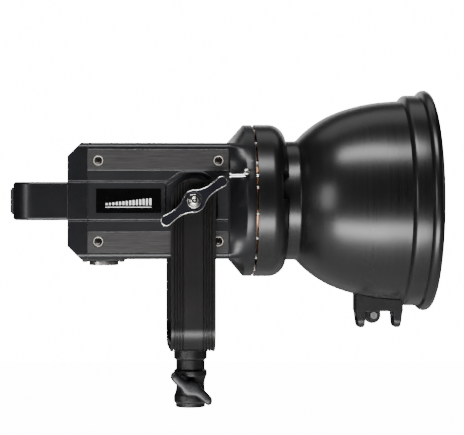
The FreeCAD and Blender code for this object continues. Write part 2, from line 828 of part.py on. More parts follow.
def strapBand(outer, inner, drop, bendOuter, low, high):
    # A U of strap seen along X, from inner to outer, between two places along X.
    def half(offset, bottom, bend):
        inset = bend * (1 - math.sqrt(0.5))
        return [(-offset, 0), (-offset, bottom + bend),
                (-offset + inset, bottom + inset, -offset + bend, bottom), (offset - bend, bottom),
                (offset - inset, bottom + inset, offset, bottom + bend), (offset, 0)]
    thick = outer - inner
    return prism("yz", half(outer, -drop, bendOuter), low, high).cut(
        prism("yz", half(inner, -drop + thick, bendOuter - thick), low - 1, high + 1))


yokeGrooves = (8.2, 10.5, 12.8, 15.1)
yokeGrooveDepth = 1.6
yokeGrooveWide = 1.1


def yoke():
    strap = strapBand(yokeOuter, yokeInner, yokeDrop, yokeBend, -yokeHalfWidth, yokeHalfWidth)
    head = cyl((0, -yokeOuter, 0), alongY, yokeThick, yokeHalfWidth)
    strap = fuse([strap, head, mirrored(head)])
    for place in yokeGrooves:
        for side in (-1, 1):
            low = side * place - yokeGrooveWide / 2
            band = strapBand(yokeOuter + 1, yokeOuter - yokeGrooveDepth, yokeDrop + 1, yokeBend + 1,
                             low, low + yokeGrooveWide)
            rise = math.sqrt(max((yokeHalfWidth + 1) ** 2 - place ** 2, 1.0))
            up = box((low, low + yokeGrooveWide), (-yokeOuter - 1, -yokeOuter + yokeGrooveDepth), (-1, rise))
            strap = strap.cut(band).cut(up).cut(mirrored(up))
    strap = strap.cut(cyl((0, -yokeOuter - 1, 0), alongY, 2 * yokeOuter + 2, pivotRadius + looseGap))
    flatBottom = tiltHeight - collarTop
    return strap.cut(cyl((0, 0, -flatBottom - 1), alongZ, yokeThick + 2, boltShank + 0.1))


boltShank = 4.0
boltHead = 6.5
socketWide = socketBore + 5.65


def socketBolt():
    seat = collarTop + yokeThick
    head = cyl((0, 0, seat), alongZ, 4.4, boltHead)
    hexagon = [rotated(3.4, 0, 60 * i) for i in range(6)]
    head = head.cut(prism("xy", hexagon, seat + 1.8, seat + 5))
    return fuse([head, cyl((0, 0, socketHeight - 8.0), alongZ, seat - socketHeight + 8.0, boltShank)])


def socketCollar():
    low = socketHeight
    path = [(0, low), (socketWide - 1.3, low), (socketWide, low + 1.3), (socketWide, collarTop), (0, collarTop)]
    collar = turned(path, alongZ)
    return collar.cut(cyl((0, 0, low - 1), alongZ, collarTop - low + 2, boltShank + 0.1))


lockZ = 16.7
lockShank = 2.95


def standSocket():
    waist = socketBore + 3.6
    foot = waist + 0.5
    neck = waist + 0.2
    path = [(0, 0), (foot - 0.6, 0), (foot, 0.6), (foot, 3.0), (socketWide, 5.0), (socketWide, 9.2),
            (waist, 18.0, socketWide, 26.8), (socketWide, 30.0), (neck + 0.5, 31.3), (neck, 31.6),
            (neck, socketHeight), (0, socketHeight)]
    socket = turned(path, alongZ)
    socket = socket.cut(cyl((0, 0, -1), alongZ, socketDepth + 1, socketBore))
    socket = socket.cut(cyl((0, 0, socketDepth + 1), alongZ, 20, boltShank + 0.05))
    return socket.cut(cyl((0, -20, lockZ), alongY, 20, lockShank + threadGap))


def wingPath(hub, reach, end, waist, leave=55.0):
    # A two-winged lever seen face on: a round hub, hollow flanks and round ends.
    a = math.radians(leave)
    hubU, hubV = hub * math.cos(a), hub * math.sin(a)
    slope = math.radians(90 - leave)
    hollow = (hubV - waist) / (1 - math.cos(slope))
    waistU = hubU + hollow * math.sin(slope)
    middleU = waistU - hollow * math.sin(slope / 2)
    middleV = waist + hollow * (1 - math.cos(slope / 2))
    endU = reach - 0.32 * end
    endV = math.sqrt(end ** 2 - (0.32 * end) ** 2)
    flareU, flareV = (waistU + endU) / 2, waist + 0.3 * (endV - waist)
    tip = reach + end
    right = [(middleU, middleV, waistU, waist), (flareU, flareV, endU, endV), (tip, 0, endU, -endV),
             (flareU, -flareV, waistU, -waist), (middleU, -middleV, hubU, -hubV)]
    left = [(-p[0], -p[1], -p[2], -p[3]) for p in right]
    return [(hubU, hubV)] + right + [(0, -hub, -hubU, -hubV)] + left + [(0, hub, hubU, hubV)]


def wingPlate(hub, reach, end, waist, face, back, bevel):
    # The plate stands across Y, its outer face at -face with a bevelled rim.
    full = wingPath(hub, reach, end, waist)
    small = wingPath(hub - bevel, reach, end - bevel, waist - bevel)
    rim = Part.makeLoft([outline("xz", full, -face + bevel), outline("xz", small, -face)], True, True)
    return fuse([prism("xz", full, -face + bevel, -back), rim])


leverAngle = 35.0
leverFace = yokeOuter + 9.0
leverBack = leverFace - 4.2
leverHub = 9.3
washerRadius = 8.2


def tiltLever():
    plate = wingPlate(leverHub, 27.0, 4.7, 3.8, leverFace, leverBack, 0.6)
    boss = cyl((0, -leverBack - 1, 0), alongY, leverBack + 1 - yokeOuter - freeGap, washerRadius)
    lever = fuse([turn(plate, -leverAngle, alongY), boss])
    lever = lever.cut(cyl((0, -leverFace - 1, 0), alongY, 2.4, 7.0))
    return lever.cut(cyl((0, -leverFace - 1, 0), alongY, 20, pivotRadius + 0.02))


def tiltScrew():
    seat = -leverFace + 1.4
    dome = [(0, seat - 4.0), (1.0, seat - 4.0), (2.9, seat - 3.4, 3.6, seat - 1.6), (5.5, seat - 1.3),
            (6.1, seat - 0.7), (6.1, seat), (0, seat)]
    head = turned(dome, alongY)
    head = head.cut(cyl((0, seat - 5, 0), alongY, 2.2, 0.7))
    return fuse([head, cyl((0, seat, 0), alongY, -blockInner - seat - 0.5, pivotRadius)])


def pivotBolt():
    seat = yokeOuter + 0.35
    dome = [(0, seat + 4.6), (4.0, seat + 4.6), (7.0, seat + 3.0, 8.0, seat), (0, seat)]
    head = turned(dome, alongY)
    hexagon = [rotated(2.9, 0, 60 * i) for i in range(6)]
    head = head.cut(prism("xz", hexagon, seat + 2.0, seat + 6))
    return fuse([head, cyl((0, blockInner + 0.5, 0), alongY, seat - blockInner - 0.5, pivotRadius)])


wingBack = socketWide + 0.65
wingThick = 6.0


def lockWing():
    plate = wingPlate(5.8, 17.6, 3.5, 3.4, wingBack + wingThick, wingBack + 0.9, 1.2)
    boss = cyl((0, -wingBack - 1, 0), alongY, 1.0, 5.0)
    wing = fuse([turn(plate, 37, alongY), boss])
    wing = wing.cut(cyl((0, -wingBack - 4, 0), alongY, 10, lockShank + 0.02))
    return shift(wing, 0, 0, lockZ)


def lockScrew():
    return cyl((0, -wingBack - 4, lockZ), alongY, wingBack + 4 - socketBore - 0.5, lockShank)


# ---- release slider -----------------------------------------------------------------------------
lugRear = ringRear + 10.5
lugFront = lugRear + 3.5
pinBite = 1.4


def releaseRod():
    y, z = pinPlace()
    tip = lugRear + pinBite
    rod = cyl((rodTail, y, z), alongX, tip - rodTail, pinRadius)
    rod = rod.makeChamfer(0.5, flatEdges(rod, "x", tip))
    return fuse([rod, cyl((rodTail - 1.0, y, z), alongX, tailThick, tailRadius)])


def releaseKnob():
    outer = -shellRadius - 5.4
    grip = cyl((knobSeatX, outer, 0), alongY, 4.6, 2.5)
    grip = grip.makeFillet(1.2, flatEdges(grip, "y", outer))
    stem = cyl((knobSeatX, outer + 4.4, 0), alongY, -pinOrbit - pinRadius - outer - 4.4 + 0.2, 1.3)
    y, z = pinPlace()
    return turn(fuse([grip, stem]), -pinAngle).cut(cyl((bodyFront, y, z), alongX, 30, pinRadius))


# ---- reflector ----------------------------------------------------------------------------------
neckRear = lugFront + 2.2
neckFront = ringFront + 9.6
stepX = beadX - 20.0
bellCurve = [(0.089, 0.241), (0.207, 0.467), (0.353, 0.667), (0.548, 0.836), (0.765, 0.949)]


def bellPath(inset):
    # The bell's outline from neck to rim in three arcs, then the step and the straight band.
    curve = []
    for along, out in bellCurve:
        radius = neckRadius + out * (mouthRadius - neckRadius)
        curve.append((neckFront + along * (stepX - neckFront), radius - inset))
    return [(neckFront - 1.8, neckRadius - inset), (neckFront, neckRadius + 0.6 - inset),
            curve[0] + curve[1], curve[2] + curve[3], curve[4] + (stepX, mouthRadius - inset),
            (stepX + 1.0, mouthRadius + 2.1 - inset), (stepX + 2.3, bandRadius - 1.5 - inset),
            (stepX + 5.0, bandRadius - inset), (beadX - 3.0, bandRadius - inset)]


def bellSolid(inset, rear):
    path = [(rear, 0)] + [(rear, neckRadius - inset)] + bellPath(inset) + [(beadX - 3.0, 0)]
    return turned(path)


def bellRadius(x):
    ray = Part.makeLine(Vec(x, 0, 0), Vec(x, 0, 2 * bandRadius))
    return ray.common(bellSolid(0.0, neckRear)).Length


def reflectorShell():
    shell = bellSolid(0.0, neckRear).cut(bellSolid(sheet, neckRear - 1))
    front = tube((beadX - 3.5, 0, 0), alongX, 3.5, bandRadius, bandRadius - sheet)
    bead = Part.makeTorus(bandRadius - 0.8, beadRadius, Vec(beadX, 0, 0), alongX)
    shell = fuse([shell, front, bead])
    for i in range(rivetCount):
        shell = shell.cut(rivetHole(i))
    for x in bracketScrewX:
        shell = shell.cut(cyl((x, 0, -bandRadius - 2), alongZ, 20, 1.6))
    return shell


rivetX = neckRear + 5.2
rivetShank = 1.5
rivetCount = 6


def rivetHole(i):
    inner = flangeInner - 0.6
    outer = neckRadius + 1.3
    peg = cyl((rivetX, -outer, 0), alongY, outer - inner, rivetShank + threadGap)
    return turn(peg, -360 / rivetCount * i)


def reflectorFlange():
    seat = neckRadius - sheet - 0.05
    path = [(lugRear - 1.6, flangeInner), (lugRear - 1.6, neckRadius), (neckRear - 0.05, neckRadius),
            (neckRear - 0.05, seat), (neckRear + 9.5, seat), (neckRear + 10.0, seat - 0.8),
            (neckRear + 10.0, flangeInner + 1.0), (neckRear + 3.0, flangeInner)]
    flange = turned(path)
    lug = sector(2 * lugRadius, lugHalfAngle, lugRear, lugFront)
    lug = lug.common(tube((lugRear, 0, 0), alongX, lugFront - lugRear, lugRadius, neckRadius - 1))
    lugs = [turn(lug, -(entryAngle + twistAngle + 120 * i)) for i in range(lugCount)]
    flange = fuse([flange] + lugs)
    for i in range(rivetCount):
        flange = flange.cut(rivetHole(i))
    return flange


def flangeRivets():
    rivets = []
    for i in range(rivetCount):
        peg = cyl((rivetX, -neckRadius + 0.05, 0), alongY, neckRadius - 0.05 - flangeInner, rivetShank)
        head = cyl((rivetX, -flangeInner + 0.05, 0), alongY, 0.9, 2.6)
        rivets.append(turn(fuse([peg, head]), -360 / rivetCount * i))
    return group(rivets)


bracketScrewX = (bracketRear + 11.4, bracketFront - 11.6)
blockDrop = rodDrop - 4.5
lugDrop = rodDrop + 9.1
earRadius = 6.0
thumbX = (bracketRear + bracketFront) / 2 - 2.6
thumbShank = 2.95


def umbrellaBracket():
    half = bracketHalfDepth
    block = box((bracketRear, bracketFront), (-half, half), (-blockDrop, -mouthRadius / 2))
    lugs = []
    for outer, toward in ((bracketRear, 1), (bracketFront, -1)):
        path = [(outer, -mouthRadius + 8), (outer + toward * 0.4, -blockDrop),
                (outer + toward * 2.0, -lugDrop + 1.3), (outer + toward * 3.0, -lugDrop),
                (outer + toward * 6.2, -lugDrop),
                (outer + toward * 7.2, -lugDrop + 1.3), (outer + toward * 8.0, -blockDrop),
                (outer + toward * 8.0, -mouthRadius + 8)]
        side = prism("xz", path, -half, half)
        corner = half - 7.0
        section = [(-half, -mouthRadius / 2), (-half, -lugDrop + 7.0),
                   (-half + 2.0, -lugDrop + 2.0, -corner, -lugDrop), (corner, -lugDrop),
                   (half - 2.0, -lugDrop + 2.0, half, -lugDrop + 7.0), (half, -mouthRadius / 2)]
        lugs.append(side.common(prism("yz", section, bracketRear - 1, bracketFront + 1)))
    ear = cyl((thumbX, half - 4.2, -rodDrop), alongY, 4.2, earRadius)
    neck = box((thumbX - earRadius, thumbX + earRadius), (half - 4.2, half), (-rodDrop, -mouthRadius - 2))
    bracket = fuse([block, lugs[0], lugs[1], ear, neck]).cut(bellSolid(-0.05, neckRear))
    bracket = bracket.cut(cyl((bracketRear - 1, 0, -rodDrop), alongX, bracketFront - bracketRear + 2, rodBore))
    bracket = bracket.cut(cyl((thumbX, 0, -rodDrop), alongY, half + 1, thumbShank + threadGap))
    for x in bracketScrewX:
        bracket = bracket.cut(cyl((x, 0, -blockDrop + 1.7), alongZ, 20, rivetShank + threadGap))
    return bracket


def bracketScrews():
    screws = []
    for x in bracketScrewX:
        seat = -bellRadius(x) + sheet + 0.6
        foot = -blockDrop + 2.2
        shank = cyl((x, 0, foot), alongZ, seat - foot, rivetShank)
        head = cyl((x, 0, seat), alongZ, 1.6, 3.0)
        head = head.cut(box((x - 2, x + 2), (-0.4, 0.4), (seat + 0.8, seat + 2.6)))
        screws.append(fuse([shank, head]))
    return group(screws)


thumbFace = bracketHalfDepth + 0.4
thumbRadius = 7.2
thumbHigh = 9.0


def umbrellaScrew():
    knob = cyl((thumbX, thumbFace, -rodDrop), alongY, thumbHigh, thumbRadius)
    knob = knob.makeChamfer(0.7, flatEdges(knob, "y", thumbFace + thumbHigh))
    flutes = []
    count = 18
    for i in range(count):
        a, b = rotated(thumbRadius + 0.3, 0, 360 / count * i)
        flutes.append(cyl((thumbX + a, thumbFace - 1, -rodDrop + b), alongY, thumbHigh + 2, 0.8))
    return knob.cut(group(flutes)).cut(cyl((thumbX, 0, -rodDrop), alongY, thumbFace + 6, thumbShank))


def umbrellaPin():
    tip = rodBore + 0.9
    return cyl((thumbX, tip, -rodDrop), alongY, thumbFace + 6 - tip, thumbShank)


# ---- writing the pieces -------------------------------------------------------------------------
headPieces = {
    "side_panel_right": sidePanel(),
    "side_panel_left": mirrored(sidePanel()),
    "side_screws": sideScrews(),
    "top_cover": topCover(),
    "bottom_cover": bottomCover(),
    "rear_cap": rearCap(),
    "chassis": group([chassisFrames(), pivotBlocks(), boardStandoffs()]),
    "badge_plates": badgePlates(),
    "rear_handle": rearHandle(),
    "handle_grip": handleGrip(),
    "handle_screws": handleScrews(),
    "control_panel": controlPanel(),
    "display_window": displayWindow(),
    "board_parts": group([encoders(), tactSwitches()]),
    "control_board": controlBoard(),
    "brightness_knob": knurledKnob(knobY[0]),
    "colour_knob": knurledKnob(knobY[1]),
    "mode_button": pushButton(buttonY[0]),
    "channel_button": pushButton(buttonY[1]),
    "effect_button": pushButton(buttonY[2]),
    "switch_frame": switchFrame(),
    "power_rocker": powerRocker(),
    "front_shell": frontShell(),
    "vent_ring": ventRing(),
    "bayonet_ring": bayonetRing(),
    "heat_spreader": heatSpreader(),
    "heat_pipes": heatPipes(),
    "heat_fins": heatFins(),
    "lamp_plate": lampPlate(),
    "led_board": ledBoard(),
    "led_emitter": ledEmitter(),
    "led_clamp": ledClamp(),
    "fan_frame": fanFrame(),
    "fan_rotor": fanRotor(),
    "driver_board": driverBoard(),
    "driver_parts": driverParts(),
    "inlet_plate": inletPlate(),
    "inlet_shell": inletShell(),
    "inlet_core": inletCore(),
    "inlet_pins": inletPins(),
    "inlet_screws": inletScrews(),
    "pivot_discs": pivotDiscs(),
    "pivot_bolt": pivotBolt(),
    "yoke": yoke(),
    "tilt_lever": tiltLever(),
    "tilt_screw": tiltScrew(),
    "release_rod": releaseRod(),
    "release_knob": releaseKnob(),
    "reflector_shell": reflectorShell(),
    "reflector_flange": reflectorFlange(),
    "flange_rivets": flangeRivets(),
    "umbrella_bracket": umbrellaBracket(),
    "bracket_screws": bracketScrews(),
    "umbrella_knob": umbrellaScrew(),
    "umbrella_screw": umbrellaPin(),
}
standPieces = {
    "socket_bolt": socketBolt(),
    "socket_collar": socketCollar(),
    "stand_socket": standSocket(),
    "lock_wing": lockWing(),
    "lock_screw": lockScrew(),
}

for name, shape in headPieces.items():
    lifted = shift(shape, z=tiltHeight)
    lifted.exportStep("parts/" + name + ".step")
for name, shape in standPieces.items():
    shape.exportStep("parts/" + name + ".step")
print(len(headPieces) + len(standPieces), "pieces written")
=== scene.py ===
import json
import math

import bmesh
import bpy
from mathutils import Matrix, Vector

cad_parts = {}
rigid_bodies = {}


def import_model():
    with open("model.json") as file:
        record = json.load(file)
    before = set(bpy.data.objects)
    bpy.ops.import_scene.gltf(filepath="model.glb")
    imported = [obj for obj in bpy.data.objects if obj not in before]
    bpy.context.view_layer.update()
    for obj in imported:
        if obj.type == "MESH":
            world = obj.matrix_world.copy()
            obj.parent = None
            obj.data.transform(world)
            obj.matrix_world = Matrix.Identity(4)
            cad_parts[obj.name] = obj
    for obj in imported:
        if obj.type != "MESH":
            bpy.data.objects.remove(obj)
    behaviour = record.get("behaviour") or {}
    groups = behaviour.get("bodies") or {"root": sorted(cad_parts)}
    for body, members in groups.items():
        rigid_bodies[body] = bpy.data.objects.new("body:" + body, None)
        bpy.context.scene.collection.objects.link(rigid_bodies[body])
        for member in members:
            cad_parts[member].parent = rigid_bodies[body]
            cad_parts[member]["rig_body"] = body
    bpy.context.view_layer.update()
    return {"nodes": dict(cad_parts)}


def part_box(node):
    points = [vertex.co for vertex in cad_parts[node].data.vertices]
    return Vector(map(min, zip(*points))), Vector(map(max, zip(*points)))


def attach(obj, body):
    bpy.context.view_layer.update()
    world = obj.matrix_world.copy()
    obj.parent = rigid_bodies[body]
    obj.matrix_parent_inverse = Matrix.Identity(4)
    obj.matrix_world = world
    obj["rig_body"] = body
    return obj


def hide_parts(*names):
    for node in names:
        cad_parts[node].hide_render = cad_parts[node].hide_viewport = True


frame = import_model()
nodes = frame["nodes"]
mm = 0.001
tiltAxis = Vector((0, 0, (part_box("reflector_shell")[0].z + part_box("reflector_shell")[1].z) / 2))
print("stage: frame loaded,", len(nodes), "pieces of the frame")


cameraLook = {
    "distance": 1.700,
    "bearing": -3.93,        # degrees round from square on, towards the rear
    "target": (0.0345, 0.0),
    "aboveAxis": 0.015,
    "axisOverMiddle": 0.0141,    # how far over the picture's middle the lamp axis shows
    "fieldOfView": 12.90,
}


def addCamera(look):
    camera = bpy.data.objects.new("camera", bpy.data.cameras.new("camera"))
    bpy.context.scene.collection.objects.link(camera)
    turn = math.radians(look["bearing"])
    aim = Vector((*look["target"], tiltAxis.z + look["aboveAxis"]))
    back = Vector((math.sin(turn), -math.cos(turn), 0))
    camera.location = aim + back * look["distance"]
    camera.rotation_euler = (math.radians(90), 0, turn)
    camera.data.sensor_fit = "HORIZONTAL"
    camera.data.angle = math.radians(look["fieldOfView"])
    seenWidth = look["distance"] * 2 * math.tan(camera.data.angle / 2)
    camera.data.shift_y = -(look["aboveAxis"] + look["axisOverMiddle"]) / seenWidth
    bpy.context.scene.camera = camera


floorLook = {"size": 9.0, "drop": 0.75, "colour": (0.93, 0.93, 0.93, 1), "glow": 16.0}


def addFloor(look):
    bpy.ops.mesh.primitive_circle_add(vertices=96, radius=look["size"], fill_type="NGON",
                                      location=(0, 0, -look["drop"]))
    floor = bpy.context.object
    floor.name = "floor"
    paint = bpy.data.materials.new("paleFloor")
    paint.use_nodes = True
    base = paint.node_tree.nodes["Principled BSDF"]
    base.inputs["Base Color"].default_value = look["colour"]
    base.inputs["Roughness"].default_value = 0.9
    base.inputs["Emission Color"].default_value = look["colour"]
    path = paint.node_tree.nodes.new("ShaderNodeLightPath")
    glow = paint.node_tree.nodes.new("ShaderNodeMath")
    glow.operation = "MULTIPLY"
    glow.inputs[1].default_value = look["glow"]
    paint.node_tree.links.new(path.outputs["Is Camera Ray"], glow.inputs[0])
    paint.node_tree.links.new(glow.outputs[0], base.inputs["Emission Strength"])
    floor.data.materials.append(paint)


# each light: where it hangs, where it points, its width and height, and its power
lights = {
    "keyHigh": {"at": (-0.30, -0.90, 1.75), "to": (0.02, 0, 0.17), "size": (1.35, 0.44), "power": 38},
    "keyLow": {"at": (-0.28, -1.05, -0.62), "to": (0.02, 0, 0.17), "size": (1.35, 0.34), "power": 35},
    "topBox": {"at": (0.05, 0.55, 1.5), "to": (0.02, 0, 0.15), "size": (1.6, 0.7), "power": 4},
    "rearBox": {"at": (-1.5, -1.1, 0.30), "to": (-0.13, 0, 0.17), "size": (0.35, 0.8), "power": 9},
    "farBox": {"at": (0.3, 1.9, 0.7), "to": (0, 0, 0.17), "size": (1.6, 1.0), "power": 8},
    "frontBox": {"at": (1.9, -0.3, 0.5), "to": (0.1, 0, 0.17), "size": (0.7, 1.0), "power": 3},
}


def addLight(name, look):
    data = bpy.data.lights.new(name, "AREA")
    data.shape = "RECTANGLE"
    data.size, data.size_y = look["size"]
    data.energy = look["power"]
    light = bpy.data.objects.new(name, data)
    bpy.context.scene.collection.objects.link(light)
    light.visible_camera = False
    light.location = look["at"]
    towards = Vector(look["to"]) - Vector(look["at"])
    light.rotation_euler = towards.to_track_quat("-Z", "Y").to_euler()


worldLook = {"seen": 16.0, "around": 0.03}


def addWorld(look):
    world = bpy.data.worlds.new("paleRoom")
    bpy.context.scene.world = world
    world.use_nodes = True
    tree = world.node_tree
    seen = tree.nodes.new("ShaderNodeBackground")
    around = tree.nodes["Background"]
    seen.inputs["Color"].default_value = (1, 1, 1, 1)
    seen.inputs["Strength"].default_value = look["seen"]
    around.inputs["Color"].default_value = (1, 1, 1, 1)
    around.inputs["Strength"].default_value = look["around"]
    path = tree.nodes.new("ShaderNodeLightPath")
    mix = tree.nodes.new("ShaderNodeMixShader")
    tree.links.new(path.outputs["Is Camera Ray"], mix.inputs[0])
    tree.links.new(around.outputs[0], mix.inputs[1])
    tree.links.new(seen.outputs[0], mix.inputs[2])
    tree.links.new(mix.outputs[0], tree.nodes["World Output"].inputs["Surface"])


addCamera(cameraLook)
addFloor(floorLook)
for lightName, lightLook in lights.items():
    addLight(lightName, lightLook)
addWorld(worldLook)
print("stage: camera, floor and light")


class Wire:
    # one output of a shader node, so that masks and patterns are written as sums
    def __init__(self, tree, socket=None):
        self.tree = tree
        self.socket = socket

    def node(self, kind, settings=None, values=None, output=0):
        made = self.tree.nodes.new(kind)
        for key, value in (settings or {}).items():
            if key == "stops":
                ramp = made.color_ramp
                while len(ramp.elements) > 1:
                    ramp.elements.remove(ramp.elements[-1])
                ramp.elements[0].position = value[0][0]
                ramp.elements[0].color = value[0][1]
                for place, colour in value[1:]:
                    ramp.elements.new(place).color = colour
            else:
                setattr(made, key, value)
        for key, value in (values or {}).items():
            if isinstance(value, Wire):
                self.tree.links.new(value.socket, made.inputs[key])
            else:
                made.inputs[key].default_value = value
        return Wire(self.tree, made.outputs[output])

    def maths(self, operation, *others):
        values = {0: self}
        for place, other in enumerate(others):
            values[place + 1] = other
        return self.node("ShaderNodeMath", {"operation": operation}, values)

    def __add__(self, other):
        return self.maths("ADD", other)

    def __mul__(self, other):
        return self.maths("MULTIPLY", other)

    def __sub__(self, other):
        return self.maths("SUBTRACT", other)

    def between(self, low, high):
        # 0 below low and 1 above high, eased
        return self.node("ShaderNodeMapRange", {"interpolation_type": "SMOOTHSTEP"},
                         {"Value": self, "From Min": low, "From Max": high})


def newPaint(name):
    paint = bpy.data.materials.new(name)
    paint.use_nodes = True
    tree = paint.node_tree
    return paint, Wire(tree), tree.nodes["Principled BSDF"]


def plug(base, name, value):
    if isinstance(value, Wire):
        value.tree.links.new(value.socket, base.inputs[name])
    else:
        base.inputs[name].default_value = value


def place(wire, scale=(1, 1, 1), centre=(0, 0, 0)):
    # the piece's own coordinates in millimetres, less a centre, stretched
    start = wire.node("ShaderNodeTexCoord", output=3)
    sizes = [1000 * s for s in scale]
    shift = [-c * s for c, s in zip(centre, sizes)]
    return wire.node("ShaderNodeMapping", {"vector_type": "POINT"},
                     {"Vector": start, "Location": shift, "Scale": sizes})


def noise(wire, vector, scale, detail=2.0, rough=0.5):
    return wire.node("ShaderNodeTexNoise", None,
                     {"Vector": vector, "Scale": scale, "Detail": detail, "Roughness": rough})


def blendColours(wire, share, first, second):
    settings = {"data_type": "RGBA"}
    values = {"Factor": share, 6: first, 7: second}
    return wire.node("ShaderNodeMix", settings, values, output=2)


def finish(name, colour, rough, metal=0.0, grain=0.0, grainSize=0.25, stretch=(1, 1, 1), shade=0.25,
           roughSpread=0.08, coat=0.0, specular=0.5):
    paint, wire, base = newPaint(name)
    spot = place(wire, stretch)
    fine = noise(wire, spot, grainSize, 4.0, 0.6)
    cloud = noise(wire, place(wire), 0.05, 2.0)
    dark = [c * (1 - shade) for c in colour[:3]] + [1]
    light = [min(1, c * (1 + shade)) for c in colour[:3]] + [1]
    tone = blendColours(wire, (fine * 0.7 + cloud * 0.3).between(0.3, 0.7), dark, light)
    plug(base, "Base Color", tone)
    plug(base, "Roughness", (fine * 0.5 + cloud * 0.5 - 0.5) * (2 * roughSpread) + rough)
    plug(base, "Metallic", metal)
    plug(base, "Coat Weight", coat)
    base.inputs["Coat Roughness"].default_value = 0.08
    base.inputs["Specular IOR Level"].default_value = specular
    if grain:
        bump = wire.node("ShaderNodeBump", None, {"Height": fine, "Strength": grain, "Distance": 0.0002})
        plug(base, "Normal", bump)
    return paint


brushedLook = {
    "dark": (0.024, 0.0232, 0.0235, 1), "light": (0.088, 0.085, 0.084, 1), "metal": 0.75,
    "middle": (0.0052, 0.0054, 0.0070, 1),
    "middleHalf": (24.4, 24.9),     # millimetres either side of the axis, eased between the two
}


def brushedPanel(look):
    # the panel's outer strips are brushed along X, the middle is plain satin
    paint, wire, base = newPaint("brushedBlack")
    spot = place(wire, centre=(0, 0, tiltAxis.z))
    height = wire.node("ShaderNodeSeparateXYZ", None, {0: spot}, output=2)
    strip = height.maths("ABSOLUTE").between(*look["middleHalf"])
    lines = noise(wire, place(wire, (0.025, 1, 5.0)), 1.0, 5.0, 0.75)
    fine = noise(wire, place(wire, (0.08, 1, 14.0)), 1.0, 3.0, 0.6)
    scratch = lines * 0.6 + fine * 0.4
    cloud = noise(wire, place(wire), 0.04)
    tone = blendColours(wire, scratch.between(0.36, 0.66), look["dark"], look["light"])
    tone = blendColours(wire, strip, look["middle"], tone)
    plug(base, "Base Color", tone)
    plug(base, "Metallic", strip * (look["metal"] - 0.2) + 0.2)
    plug(base, "Roughness", (scratch - 0.5) * 0.3 + strip * 0.08 + cloud * 0.08 + 0.36)
    depth = scratch * (strip * 0.8 + 0.2)
    bump = wire.node("ShaderNodeBump", None, {"Height": depth, "Strength": 0.12, "Distance": 0.0001})
    plug(base, "Normal", bump)
    return paint


def spunBlack():
    # satin black with fine lines round the lamp axis, left by spinning
    paint, wire, base = newPaint("spunBlack")
    lines = noise(wire, place(wire, (3.2, 0.006, 0.006)), 1.0, 4.0, 0.65)
    bands = noise(wire, place(wire, (0.35, 0.002, 0.002)), 1.0, 2.0)
    cloud = noise(wire, place(wire), 0.03)
    both = lines * 0.6 + bands * 0.4
    dark, light = (0.0035, 0.0035, 0.0038, 1), (0.0065, 0.0063, 0.0062, 1)
    plug(base, "Base Color", blendColours(wire, both.between(0.3, 0.7), dark, light))
    plug(base, "Roughness", (both - 0.5) * 0.10 + (cloud - 0.5) * 0.05 + 0.29)
    plug(base, "Metallic", 0.15)
    bump = wire.node("ShaderNodeBump", None, {"Height": both, "Strength": 0.16, "Distance": 0.0001})
    plug(base, "Normal", bump)
    return paint


def spunSilver():
    # the reflector's lining, spun and lightly dimpled
    paint, wire, base = newPaint("spunSilver")
    lines = noise(wire, place(wire, (3.0, 0.006, 0.006)), 1.0, 4.0, 0.65)
    dents = wire.node("ShaderNodeTexVoronoi", None, {"Vector": place(wire), "Scale": 0.45})
    dark, light = (0.62, 0.63, 0.64, 1), (0.78, 0.78, 0.78, 1)
    plug(base, "Base Color", blendColours(wire, lines.between(0.3, 0.7), dark, light))
    plug(base, "Roughness", (lines - 0.5) * 0.16 + 0.3)
    plug(base, "Metallic", 1.0)
    depth = dents + lines * 0.3
    bump = wire.node("ShaderNodeBump", None, {"Height": depth, "Strength": 0.25, "Distance": 0.0003})
    plug(base, "Normal", bump)
    return paint


def emitterPaint():
    # rows of small dies under yellow phosphor
    paint, wire, base = newPaint("phosphor")
    dies = wire.node("ShaderNodeTexVoronoi", {"feature": "F1", "distance": "CHEBYCHEV"},
                     {"Vector": place(wire), "Scale": 0.55, "Randomness": 0.0})
    dark, light = (0.82, 0.60, 0.10, 1), (0.93, 0.80, 0.30, 1)
    plug(base, "Base Color", blendColours(wire, dies.between(0.25, 0.4), dark, light))
    plug(base, "Roughness", dies * 0.2 + 0.3)
    return paint


def boardPaint():
    # green board with copper tracks
    paint, wire, base = newPaint("circuitBoard")
    tracks = wire.node("ShaderNodeTexBrick", {"offset": 0.5},
                       {"Vector": place(wire), "Scale": 0.4, "Mortar Size": 0.06}, output=1)
    speck = noise(wire, place(wire), 0.8, 3.0)
    tone = blendColours(wire, tracks, (0.012, 0.085, 0.035, 1), (0.03, 0.17, 0.07, 1))
    plug(base, "Base Color", blendColours(wire, speck.between(0.62, 0.68), tone, (0.5, 0.42, 0.2, 1)))
    plug(base, "Roughness", speck * 0.2 + 0.3)
    return paint


